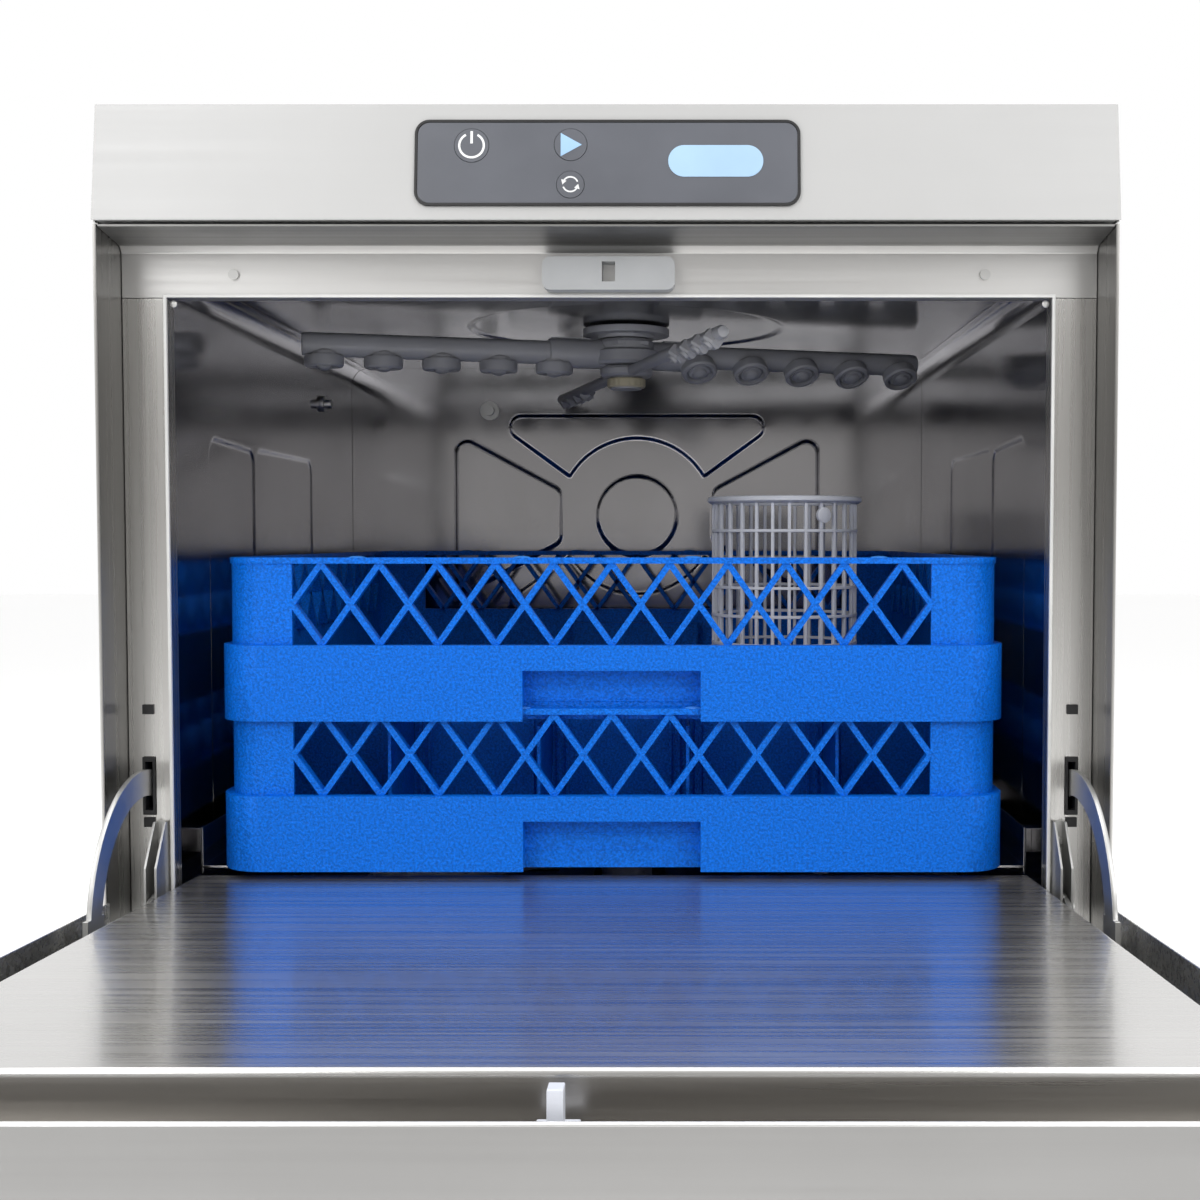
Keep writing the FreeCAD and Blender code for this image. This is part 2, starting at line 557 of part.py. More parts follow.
def rack_shape():
    """One 500 mm rack: a proud band, a lattice wall and a rim round an open grid floor."""
    width, height, skirt = size("rack_w"), size("rack_h"), size("skirt_h")
    band, top, thick = size("band_h"), size("window_top"), size("rack_t")
    wall = width - 2 * size("rack_inset")
    shell = hollow_slab(width, RACK_CORNER, size("skirt_t"), 0, skirt)
    shell = shell.fuse(hollow_slab(width, RACK_CORNER, size("rack_inset") + thick, skirt, band))
    side = hollow_slab(wall, RACK_CORNER - 2, thick, band, top)
    half = size("window_pitches") / 2 * size("lattice_pitch")
    window = Part.makeBox(2 * half, width, top - band, FreeCAD.Vector(-half, -width / 2, band))
    side = side.cut(window)
    window.rotate(FreeCAD.Vector(), Z_AXIS, 90)
    side = side.cut(window)
    rim = hollow_slab(wall + 2, RACK_CORNER - 1, size("rim_t"), top, height)
    lattice = lattice_bars(-wall / 2)
    sides = []
    for turn in range(4):
        copy = lattice.copy()
        copy.rotate(FreeCAD.Vector(), Z_AXIS, 90 * turn)
        sides.append(copy)
    bars = []
    span = wall - 4
    for count in GRID:
        at = count * size("lattice_pitch") - thick / 2
        bars.append(Part.makeBox(span, thick, size("grid_h"), FreeCAD.Vector(-span / 2, at, skirt)))
        bars.append(Part.makeBox(thick, span, size("grid_h"), FreeCAD.Vector(at, -span / 2, skirt)))
    shell = shell.multiFuse([side, rim, *sides, *bars])
    grip_w, grip_h, deep = size("grip_w"), size("grip_h"), size("grip_deep")
    for turn in (0, 180):
        grip = Part.makeBox(grip_w, deep + 4, grip_h + 1, FreeCAD.Vector(-grip_w / 2, -width / 2 - 2, -1))
        pocket = Part.makeBox(grip_w + 2 * thick, deep + thick, grip_h + thick,
                              FreeCAD.Vector(-grip_w / 2 - thick, -width / 2 + 1, 0))
        hollow = Part.makeBox(grip_w, deep, grip_h + 1, FreeCAD.Vector(-grip_w / 2, -width / 2 - 2, -1))
        nest = Part.makeBox(grip_w + 2 * thick, deep - thick - 1, skirt + 0.1,
                            FreeCAD.Vector(-grip_w / 2 - thick, -width / 2 + 1, -0.1))
        pocket = pocket.cut(hollow).cut(nest)
        for shape in (grip, pocket):
            shape.rotate(FreeCAD.Vector(), Z_AXIS, turn)
        shell = shell.cut(grip).fuse(pocket)
    return rack_sections(shell.removeSplitter())


def rack_sections(shell):
    """The moulding as nine touching solids: floor grid, four walls and four corners."""
    half, tall, skirt = size("rack_w") / 2, size("rack_h") + 2, size("skirt_h")
    reach = half - RACK_CORNER
    corners = [Part.makeBox(RACK_CORNER + 1, RACK_CORNER + 1, tall, FreeCAD.Vector(x, y, -1))
               for x in (-half - 1, reach) for y in (-half - 1, reach)]
    inner = half - size("rack_inset") - size("rack_t") - 1
    bed = Part.makeBox(2 * inner, 2 * inner, size("grid_h"), FreeCAD.Vector(-inner, -inner, skirt))
    deep = size("grip_deep") + size("rack_t") + 1
    width = size("grip_w") + 2 * size("rack_t")
    pockets = [Part.makeBox(width, deep, tall, FreeCAD.Vector(-width / 2, y, -1)) for y in (-half, half - deep)]
    for region in (*corners, *pockets):
        bed = bed.cut(region)
    walls = shell
    for region in (*corners, bed):
        walls = walls.cut(region)
    solids = [solid for region in (*corners, bed) for solid in shell.common(region).Solids]
    return Part.makeCompound([*walls.Solids, *solids])


def divider_plate(cells, low, slots_up):
    """A thin plate with half-lap slots, standing on the X axis."""
    half, thick, high = size("divider_half"), size("divider_t"), size("divider_top")
    plate = Part.makeBox(2 * half, thick, high - low, FreeCAD.Vector(-half, -thick / 2, low))
    middle = (low + high) / 2
    base = middle if slots_up else middle - (high - low) + 0.2
    for at in cells:
        plate = plate.cut(Part.makeBox(3, 6, high - low, FreeCAD.Vector(at - 1.5, -3, base)))
    return plate


def make_racks():
    base = FreeCAD.Vector(0, size("front_y") + size("rack_front") + size("rack_w") / 2,
                          size("deck_z") + size("rack_gap"))
    rack = rack_shape()
    for name, lift in (("lower_rack", 0), ("upper_rack", size("rack_pitch"))):
        thing = doc.addObject("Part::Feature", "rack")
        thing.Shape = rack
        thing.Placement = FreeCAD.Placement(base + FreeCAD.Vector(0, 0, lift), FreeCAD.Rotation())
        node(name, thing)
    grid_top = size("skirt_h") + size("grid_h") + 0.3
    cells = [size("cell") * count for count in (-1.5, -0.5, 0.5, 1.5)]
    plates = []
    for at in cells:
        across = divider_plate(cells, grid_top, True)
        across.translate(FreeCAD.Vector(0, at, 0))
        down = divider_plate(cells, grid_top, False)
        down.rotate(FreeCAD.Vector(), Z_AXIS, 90)
        down.translate(FreeCAD.Vector(at, 0, 0))
        plates += [across, down]
    thing = doc.addObject("Part::Feature", "dividers")
    thing.Shape = Part.makeCompound(plates)
    thing.Placement = FreeCAD.Placement(base, FreeCAD.Rotation())
    node("glass_dividers", thing)

    at = ("basket_x", "front_y + basket_y")
    floor = f"deck_z + rack_gap + rack_pitch + {grid_top}"
    shell = fuse(rod("basket_r", (*at, floor), "basket_h"),
                 rod("basket_r + 3", (*at, f"{floor} + basket_h - 5"), 5))
    node("cutlery_basket", cut(shell, rod("basket_r - basket_t", (*at, f"{floor} + 3"), "basket_h")))


# ---------------------------------------------------------------- door
def make_door():
    under, floor = "-door_under", "-door_under + skin_t"
    front = "-door_len + 1.6"
    plate = box(("-door_half", "door_half"), (front, "-32"), (under, floor))
    tail = box(("-panel_half - 1.4", "panel_half + 1.4"), ("-33", "0"), (under, floor))
    roll = sector("door_under - skin_t", "door_under", -90, 0, "-panel_half - 1.4", "panel_half + 1.4")
    cheeks = [sided(side, ("door_half - skin_t", "door_half"), (front, "-32"), (under, 9)) for side in SIDES]
    node("door_outer_skin", on_door(fuse(plate, tail, roll, *cheeks)))

    top = ("panel_top - skin_t", "panel_top")
    sheet = box(("-panel_half", "panel_half"), ("-panel_front", "panel_tail"), top)
    folds = [box(("-panel_half", "panel_half"), ("panel_tail - skin_t", "panel_tail"), (4, "panel_top")),
             box(("-panel_half", "panel_half"), ("-panel_front", "-panel_front + skin_t"),
                 ("channel_floor - skin_t", "panel_top")),
             box(("-door_half + skin_t + 0.2", "door_half - skin_t - 0.2"), (front, "-panel_front + 1"),
                 ("channel_floor - skin_t", "channel_floor"))]
    for side in SIDES:
        edge = ("panel_half - skin_t", "panel_half")
        folds.append(sided(side, edge, ("-panel_front", "-24"), (floor, "panel_top")))
        folds.append(sided(side, edge, ("-25", "panel_tail"), (4, "panel_top")))
    node("door_inner_panel", on_door(fuse(sheet, *folds)))

    out, low = "-door_len", "-handle_low"
    hook = [(out, "lip_top"), (out, f"{low} + 5"), (f"{out} + 5", low), (f"{out} + 22", low),
            (f"{out} + 22", f"{low} + 7"), (f"{out} + 20.5", f"{low} + 7"),
            (f"{out} + 20.5", f"{low} + 1.5"), (f"{out} + 5.6", f"{low} + 1.5"),
            (f"{out} + 1.5", f"{low} + 5.6"), (f"{out} + 1.5", "lip_top")]
    node("door_handle", on_door(prism("yz", hook, "-door_half + 0.1", "door_half - 0.1")))

    arms = []
    lugs = []
    for side in SIDES:
        low = "arm_in" if side > 0 else "-arm_out"
        band = sector("arm_r - arm_w / 2", "arm_r + arm_w / 2", "arm_start", "arm_end", low, f"{low} + 3")
        foot = box((low, f"{low} + 3"), ("-arm_r - 12", "-arm_r + 12"), (floor, 9))
        inward = (low, f"{low} + 7") if side < 0 else (f"{low} - 4", f"{low} + 3")
        tab = box(inward, ("-arm_r - 12", "-arm_r + 12"), (floor, f"{floor} + 2"))
        arms.append(fuse(band, foot, tab))
        low = "lug_in" if side > 0 else "-lug_out"
        outline = [("-75", floor), ("-30", floor), ("-5", "-8"), ("3", "-8"), ("3", "7"), ("-8", "7"),
                   ("-40", "-6"), ("-75", "-6")]
        bar = prism("yz", outline, low, f"{low} + 3")
        eye = rod(9, (low, 0, 0), 3, "x")
        lugs.append(cut(fuse(bar, eye), rod("pin_bore_r", (f"{low} - 1", 0, 0), 5, "x")))
    node("door_arms", on_door(group(*arms)))
    node("door_hinge_lugs", on_door(group(*lugs)))

    base = box((-8, 8), (-394, -373), ("channel_floor", "channel_floor + 4"))
    tongue = box((-3, 3), (-390.5, -381.5), ("channel_floor", 12))
    node("door_catch", on_door(fuse(base, tongue)))

    springs = []
    for side in SIDES:
        at = (f"{side} * 291.5", "front_y + 72.5")
        hooks = [rod(1, (*at, "deck_z + 18"), 26), rod(1, (*at, "deck_z - 136"), 30)]
        springs.append(fuse(rod(4, (*at, "deck_z - 108"), 128), *hooks))
    node("door_springs", group(*springs))
    node("door_switch", sided(1, (288.5, 296.5), ("front_y + 112", "front_y + 135"),
                              ("deck_z + 20", "deck_z + 50")))


# ---------------------------------------------------------------- wet and electric parts below
def make_services():
    bed = "foot_h + frame_t"
    motor = rod(50, (-235, "front_y + pump_y", "service_z"), 150, "x")
    volute = rod(54, (-85, "front_y + pump_y", "service_z"), 42, "x")
    stand = box((-225, -100), ("front_y + pump_y - 38", "front_y + pump_y + 38"), (bed, 60))
    terminals = box((-200, -140), ("front_y + pump_y - 28", "front_y + pump_y + 28"), (130, 152))
    node("wash_pump", fuse(motor, volute, stand, terminals))

    suction = [rod("suction_r", ("suction_x", "front_y + sump_y", 96), 62),
               rod("suction_r", ("suction_x", "front_y + sump_y - 125", 96), 125, "y")]
    riser = "front_y + riser_y"
    feed = [rod("pipe_r", (0, "front_y + hub_y", 72), 86), rod("pipe_r", (-42, "front_y + hub_y", 84), 42, "x"),
            rod("pipe_r", (0, "front_y + hub_y", 72), "riser_y - hub_y", "y"),
            rod("pipe_r", (0, riser, 60), "deck_z + 345"),
            rod("pipe_r", (0, "front_y + hub_y", "deck_z + 396"), "riser_y - hub_y", "y"),
            rod("pipe_r", (0, "front_y + hub_y", "deck_z + ceiling + skin_t + 0.1"), 22)]
    node("wash_pipes", group(fuse(*suction), fuse(*feed)))

    tank = rod(46, (40, "front_y + boiler_y", 100), 220, "x")
    caps = [rod(34, (x, "front_y + boiler_y", 100), 10, "x") for x in (30, 260)]
    cradle = [box((x, x + 14), ("front_y + boiler_y - 30", "front_y + boiler_y + 30"), (bed, 66))
              for x in (70, 216)]
    node("booster_boiler", fuse(tank, *caps, *cradle))

    pump = [rod(27, (150, "front_y + drain_pump_y", 72), 70, "x"),
            rod(32, (215, "front_y + drain_pump_y", 72), 22, "x"),
            box((160, 232), ("front_y + drain_pump_y - 16", "front_y + drain_pump_y + 16"), (bed, 52))]
    node("drain_pump", fuse(*pump))

    pumps = []
    for x in (-270, -205):
        case = box((x, x + 52), ("front_y + 400", "front_y + 446"), (bed, 92))
        pumps.append(fuse(case, rod(20, (x + 26, "front_y + 388", 64), 14, "y")))
    node("dosing_pumps", group(*pumps))

    z = "service_z"
    tail = fuse(rod("inlet_r - 1.5", ("inlet_x", f"{REAR} - 8", z), 9, "y"),
                rod("inlet_r", ("inlet_x", f"{REAR} + 1", z), 15, "y"))
    thread = cut(tail, rod(8, ("inlet_x", f"{REAR} - 2", z), 30, "y"))
    valve = box(("inlet_x - 22", "inlet_x + 22"), (f"{REAR} - 60", f"{REAR} - 8"), (f"{z} - 18", f"{z} + 24"))
    node("fill_valve", fuse(thread, valve))
    pipe = fuse(rod("drain_r - 1.5", ("drain_x", f"{REAR} - 24", z), 25, "y"),
                rod("drain_r", ("drain_x", f"{REAR} + 1", z), 23, "y"))
    node("drain_spigot", cut(pipe, rod(10.5, ("drain_x", f"{REAR} - 20", z), 50, "y")))
    nut = fuse(rod("gland_r", ("gland_x", f"{REAR} - 12", z), 20, "y"), rod(15, ("gland_x", REAR, z), 6, "y"))
    node("cable_gland", cut(nut, rod(5, ("gland_x", f"{REAR} - 14", z), 30, "y")))


def check_and_write():
    """Stops on any failed object or bad shape, then writes one file per sub-part."""
    doc.recompute()
    for thing in doc.Objects:
        wrong = [state for state in thing.State if state in ("Invalid", "Error")]
        if wrong:
            raise RuntimeError(f"{thing.Name} is {wrong}")
    os.makedirs("parts", exist_ok=True)
    for name, thing in NODES.items():
        shape = thing.Shape
        if shape.isNull() or not shape.isValid() or not shape.Solids:
            raise RuntimeError(f"{name} has no good shape")
        shape.exportStep(f"parts/{name}.step")
    whole = Part.makeCompound([thing.Shape for thing in NODES.values()]).BoundBox
    print(len(NODES), "sub-parts; box", [round(v, 2) for v in (whole.XMin, whole.XMax, whole.YMin,
          whole.YMax, whole.ZMin, whole.ZMax)])


make_cabinet()
make_controls()
make_front_frame()
make_chamber()
make_sprays()
make_racks()
make_door()
make_services()
check_and_write()
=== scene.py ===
"""Looks of the undercounter glass washer: materials, pressed sheets, spray arms, basket, icons, light."""
import json
import math
import bpy
import bmesh
import numpy as np
from mathutils import Matrix, Vector


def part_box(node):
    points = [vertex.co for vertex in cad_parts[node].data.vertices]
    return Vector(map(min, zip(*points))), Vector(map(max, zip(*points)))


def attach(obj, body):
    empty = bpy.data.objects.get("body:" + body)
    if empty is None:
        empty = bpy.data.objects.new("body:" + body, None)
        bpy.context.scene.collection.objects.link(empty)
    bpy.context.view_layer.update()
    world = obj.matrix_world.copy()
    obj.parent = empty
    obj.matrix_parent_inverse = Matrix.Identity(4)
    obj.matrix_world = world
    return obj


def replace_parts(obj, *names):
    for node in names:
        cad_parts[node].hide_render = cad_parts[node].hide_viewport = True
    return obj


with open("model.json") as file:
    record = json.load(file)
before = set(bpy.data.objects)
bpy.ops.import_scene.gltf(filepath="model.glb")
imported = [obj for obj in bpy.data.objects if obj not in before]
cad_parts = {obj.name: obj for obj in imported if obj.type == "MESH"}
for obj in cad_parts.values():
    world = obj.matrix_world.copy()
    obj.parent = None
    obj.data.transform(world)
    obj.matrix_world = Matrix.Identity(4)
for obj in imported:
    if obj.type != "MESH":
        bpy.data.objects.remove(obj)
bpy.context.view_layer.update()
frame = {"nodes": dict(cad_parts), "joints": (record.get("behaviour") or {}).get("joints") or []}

MM = 0.001
NODES = frame["nodes"]
JOINTS = {joint["name"]: joint for joint in frame["joints"]}
BRUSH_LINES = 260.0      # per metre, across the brushing
BRUSH_LENGTH = 3.0       # per metre, along it
BRUSH_DEPTH = 0.06 * MM
PEBBLES = 620.0          # per metre
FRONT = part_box("side_panels")[0].y
DECK = JOINTS["door_hinge"]["pos_m"][2] + 10 * MM
HUB = Vector(JOINTS["upper_spray_turn"]["pos_m"])


def place(x, y, z):
    """A point in millimetres from the cabinet's middle, its front rim and the rack deck."""
    return Vector((x * MM, FRONT + y * MM, DECK + z * MM))


# ---------------------------------------------------------------- materials
class Look:
    """A material with a Principled shader and short ways to add procedural detail."""

    def __init__(self, name, color, rough, metal=0.0, **sockets):
        self.mat = bpy.data.materials.new(name)
        self.mat.use_nodes = True
        self.nodes, self.links = self.mat.node_tree.nodes, self.mat.node_tree.links
        self.shader = self.nodes["Principled BSDF"]
        self.color = color
        self.put("Base Color", (*color, 1))
        self.put("Roughness", rough)
        self.put("Metallic", metal)
        for key, value in sockets.items():
            self.put(key.replace("_", " "), value)
        self.height = None

    def put(self, socket, value):
        self.shader.inputs[socket].default_value = value

    def noise(self, scale, stretch=(1, 1, 1), detail=3.0, rough=0.5):
        """Noise over the object's own metres, stretched along its axes."""
        where = self.nodes.new("ShaderNodeTexCoord")
        mapping = self.nodes.new("ShaderNodeMapping")
        mapping.inputs["Scale"].default_value = stretch
        made = self.nodes.new("ShaderNodeTexNoise")
        made.inputs["Scale"].default_value = scale
        made.inputs["Detail"].default_value = detail
        made.inputs["Roughness"].default_value = rough
        self.links.new(where.outputs["Object"], mapping.inputs["Vector"])
        self.links.new(mapping.outputs["Vector"], made.inputs["Vector"])
        return made.outputs["Fac"]

    def spread(self, field, low, high, field_low=0.3, field_high=0.7):
        """Maps a field to numbers between low and high."""
        span = self.nodes.new("ShaderNodeMapRange")
        span.inputs["From Min"].default_value = field_low
        span.inputs["From Max"].default_value = field_high
        span.inputs["To Min"].default_value = low
        span.inputs["To Max"].default_value = high
        self.links.new(field, span.inputs["Value"])
        return span.outputs["Result"]

    def vary_color(self, field, dark, light, field_low=0.3, field_high=0.7):
        ramp = self.nodes.new("ShaderNodeValToRGB")
        ramp.color_ramp.elements[0].position = field_low
        ramp.color_ramp.elements[1].position = field_high
        ramp.color_ramp.elements[0].color = (*(c * dark for c in self.color), 1)
        ramp.color_ramp.elements[1].color = (*(min(1, c * light) for c in self.color), 1)
        self.links.new(field, ramp.inputs["Fac"])
        self.links.new(ramp.outputs["Color"], self.shader.inputs["Base Color"])
        return self

    def paint_shade_by_place(self, axis, start, stop, near, far):
        """Paints shade: multiplies the colour by a factor that runs from near to far along an object axis
        (metres).
        """
        where = self.nodes.new("ShaderNodeTexCoord")
        split = self.nodes.new("ShaderNodeSeparateXYZ")
        size = self.nodes.new("ShaderNodeMath")
        size.operation = "ABSOLUTE" if axis == "X" else "ADD"
        size.inputs[1].default_value = 0.0
        self.links.new(where.outputs["Object"], split.inputs["Vector"])
        self.links.new(split.outputs[axis], size.inputs[0])
        factor = self.spread(size.outputs["Value"], near, far, start, stop)
        times = self.nodes.new("ShaderNodeVectorMath")
        times.operation = "SCALE"
        source = self.shader.inputs["Base Color"].links[0].from_socket
        self.links.new(source, times.inputs["Vector"])
        self.links.new(factor, times.inputs["Scale"])
        self.links.new(times.outputs["Vector"], self.shader.inputs["Base Color"])
        return self

    def vary_rough(self, field, low, high):
        self.links.new(self.spread(field, low, high), self.shader.inputs["Roughness"])
        return self

    def bump(self, field, strength, distance):
        made = self.nodes.new("ShaderNodeBump")
        made.inputs["Strength"].default_value = strength
        made.inputs["Distance"].default_value = distance
        self.links.new(field, made.inputs["Height"])
        if self.height:
            self.links.new(self.height, made.inputs["Normal"])
        self.height = made.outputs["Normal"]
        self.links.new(self.height, self.shader.inputs["Normal"])
        return self


def brushed(name, color, rough, along, streak=0.25, stretched=0.5, metal=1.0, shade=None, **sockets):
    """Sheet steel brushed along one axis (0 or 2); its gloss spreads across the brushing. shade, if given,
    paints shade along an object axis.
    """
    look = Look(name, color, rough, metal, Anisotropic=stretched, **sockets)
    across = look.nodes.new("ShaderNodeCombineXYZ")
    for key, value in zip("XYZ", (0, -0.7, 0.7) if along == 0 else (0.7, 0.7, 0)):
        across.inputs[key].default_value = value
    look.links.new(across.outputs["Vector"], look.shader.inputs["Tangent"])
    stretch = [BRUSH_LINES] * 3
    stretch[along] = BRUSH_LENGTH
    lines = look.noise(1.0, stretch, 4.0, 0.6)
    clouds = look.noise(5.0)
    look.vary_color(clouds, 0.95, 1.04)
    # painted shade: the colour is darkened along one object axis
    if shade:
        look.paint_shade_by_place(*shade)
    look.vary_rough(lines, rough * 0.85, rough * 1.2)
    look.bump(lines, streak, BRUSH_DEPTH)
    look.bump(look.noise(2.2, detail=1.0), 0.12, 0.004)
    return look.mat


def polished(name, color, rough):
    """Bright chamber sheet with a soft waviness and water marks."""
    look = Look(name, color, rough, 1.0)
    look.vary_color(look.noise(7.0, detail=4.0), 0.9, 1.06)
    look.vary_rough(look.noise(11.0, (1, 1, 0.4), 5.0, 0.6), rough * 0.75, rough * 1.35)
    look.bump(look.noise(150.0, (1, 1, 0.03)), 0.1, BRUSH_DEPTH)
    look.bump(look.noise(3.0, detail=1.0), 0.2, 0.006)
    return look.mat


def moulded(name, color, rough, grain, depth, **sockets):
    """Plastic with a fine moulded grain and slight colour unevenness."""
    look = Look(name, color, rough, 0.0, **sockets)
    look.vary_color(look.noise(18.0, detail=4.0), 0.9, 1.08)
    look.vary_rough(look.noise(60.0), rough * 0.9, rough * 1.12)
    look.bump(look.noise(grain), depth, 0.0002)
    return look.mat


def pebbled(name, color):
    """Blue rack plastic: a pebbled skin over slow sink marks."""
    look = Look(name, color, 0.36, 0.0, Specular_IOR_Level=0.16)
    look.vary_color(look.noise(PEBBLES, detail=2.0, rough=0.6), 0.72, 1.28, 0.35, 0.65)
    look.vary_rough(look.noise(40.0), 0.3, 0.44)
    look.bump(look.noise(PEBBLES, detail=2.0, rough=0.6), 1.0, 0.0009)
    look.bump(look.noise(14.0, detail=1.0), 0.25, 0.002)
    return look.mat


LOOKS = {
    "steel_x": brushed("steel_brushed_across", (0.60, 0.595, 0.58), 0.27, 0),
    # painted shade: header parts less than 31 mm behind the front rim are darkened to 0.42, shade in the
    # recess
    "steel_header": brushed("steel_header", (0.60, 0.595, 0.585), 0.42, 0, 0.12, 0.2, 1.0,
                            ("Y", FRONT + 31 * MM, FRONT + 37.5 * MM, 0.42, 1.0)),
    "steel_z": brushed("steel_brushed_upright", (0.60, 0.59, 0.57), 0.27, 2),
    # painted reflection: the side panels' inner faces (|x| under 0.2981 m) are darkened to 0.34, standing in
    # for the dark room they reflect
    "steel_side": brushed("steel_side", (0.62, 0.61, 0.59), 0.3, 2, 0.2, 0.5, 1.0,
                          ("X", 0.2981, 0.2996, 0.34, 1.0)),
    "steel_fascia": brushed("steel_fascia", (0.455, 0.455, 0.452), 0.45, 0, 0.03, 0.3, 0.1),
    "steel_door": brushed("steel_door_liner", (0.62, 0.612, 0.60), 0.27, 0, 0.012, 0.6,
                          Coat_Weight=0.3, Coat_Roughness=0.08),
    # painted shade: the channel behind the handle is the door steel painted darker
    "steel_channel_painted_shade": brushed("steel_channel_painted_shade", (0.36, 0.345, 0.325), 0.3, 0, 0.06, 0.5),
    # painted shade: the handle strip is the door steel painted darker, as shaded inside the channel
    "steel_handle_painted_shade": brushed("steel_handle_painted_shade", (0.33, 0.326, 0.32), 0.36, 0, 0.1),
    # painted highlight: the rolled hem is the door steel painted lighter, as it catches the light
    "steel_hem_highlight": brushed("steel_hem_painted_highlight", (0.85, 0.85, 0.84), 0.35, 0, 0.05),
    "steel_chamber": polished("steel_chamber", (0.455, 0.45, 0.465), 0.13),
    # painted shade: the ceiling is the chamber steel painted darker
    "steel_ceiling_painted_shade": polished("steel_ceiling_painted_shade", (0.235, 0.235, 0.245), 0.14),
    "steel_dull": polished("steel_dull", (0.52, 0.52, 0.51), 0.4),
    "grey": moulded("grey_moulding", (0.30, 0.305, 0.33), 0.42, 2200, 0.25),
    "striker": moulded("striker_plastic", (0.36, 0.37, 0.38), 0.45, 1800, 0.15),
    "nut": moulded("nut_plastic", (0.42, 0.38, 0.27), 0.5, 1500, 0.3),
    "black": moulded("black_plastic", (0.012, 0.012, 0.013), 0.4, 1500, 0.2),
    "overlay": moulded("overlay_film", (0.102, 0.108, 0.126), 0.32, 3000, 0.06, Coat_Weight=0.25),
    "icon_white": moulded("icon_white", (0.80, 0.81, 0.82), 0.4, 2000, 0.02),
    "icon_blue": moulded("icon_blue", (0.33, 0.52, 0.76), 0.4, 2000, 0.02),
    # painted highlight: the rim studs are a lighter, glossier blue than the rack, for light on the rack's top
    # edges
    "blue_highlight_gloss": moulded("rack_blue_painted_highlight", (0.05, 0.24, 0.72), 0.15, 900, 0.05),
    "label": moulded("label_film", (0.36, 0.53, 0.72), 0.3, 2500, 0.04),
    "blue": pebbled("rack_blue", (0.001, 0.138, 0.66)),
    "basket": moulded("basket_grey", (0.58, 0.60, 0.66), 0.42, 1400, 0.12),
    "seal": moulded("seal_white", (0.72, 0.72, 0.71), 0.45, 900, 0.2),
    "board": moulded("board_green", (0.02, 0.12, 0.05), 0.4, 900, 0.1),
    "brass": polished("brass", (0.72, 0.52, 0.24), 0.3),
}


# ---------------------------------------------------------------- mesh tools
def finish_piece(name, verts, faces, look, body, sharp=35.0, bevel=0.0):
    """Makes a mesh piece from metres, with outward faces, and lets it ride on its body."""
    mesh = bpy.data.meshes.new(name)
    mesh.from_pydata([tuple(v) for v in verts], [], faces)
    made = bmesh.new()
    made.from_mesh(mesh)
    bmesh.ops.remove_doubles(made, verts=made.verts, dist=1e-6)
    bmesh.ops.recalc_face_normals(made, faces=made.faces)
    made.to_mesh(mesh)
    made.free()
    for face in mesh.polygons:
        face.use_smooth = True
    mesh.set_sharp_from_angle(angle=math.radians(sharp))
    mesh.materials.append(LOOKS[look])
    piece = bpy.data.objects.new(name, mesh)
    bpy.context.scene.collection.objects.link(piece)
    if bevel:
        soften(piece, bevel)
    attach(piece, body)
    return piece


def soften(piece, width, weld=False):
    """Rounds sharp edges slightly, as bent and moulded edges are."""
    if weld:
        merge = piece.modifiers.new("weld", "WELD")
        merge.merge_threshold = 2e-6
    edge = piece.modifiers.new("edges", "BEVEL")
    edge.width = width
    edge.segments = 2
    edge.limit_method = "ANGLE"
    edge.angle_limit = math.radians(40)
    edge.harden_normals = True


BOX_FACES = [(0, 3, 2, 1), (4, 5, 6, 7), (0, 1, 5, 4), (1, 2, 6, 5), (2, 3, 7, 6), (3, 0, 4, 7)]


def turned(profile, sides, wave):
    """(radius, height) points turned about Z; wave varies the radius."""
    verts = []
    for radius, height in profile:
        for step in range(sides):
            angle = 2 * math.pi * step / sides
            grow = wave(angle) if wave else 1.0
            verts.append((radius * grow * math.cos(angle), radius * grow * math.sin(angle), height))
    return verts


def wrap(row, below, sides):
    """The faces between two rings of points."""
    return [(row * sides + step, row * sides + (step + 1) % sides,
             below * sides + (step + 1) % sides, below * sides + step) for step in range(sides)]


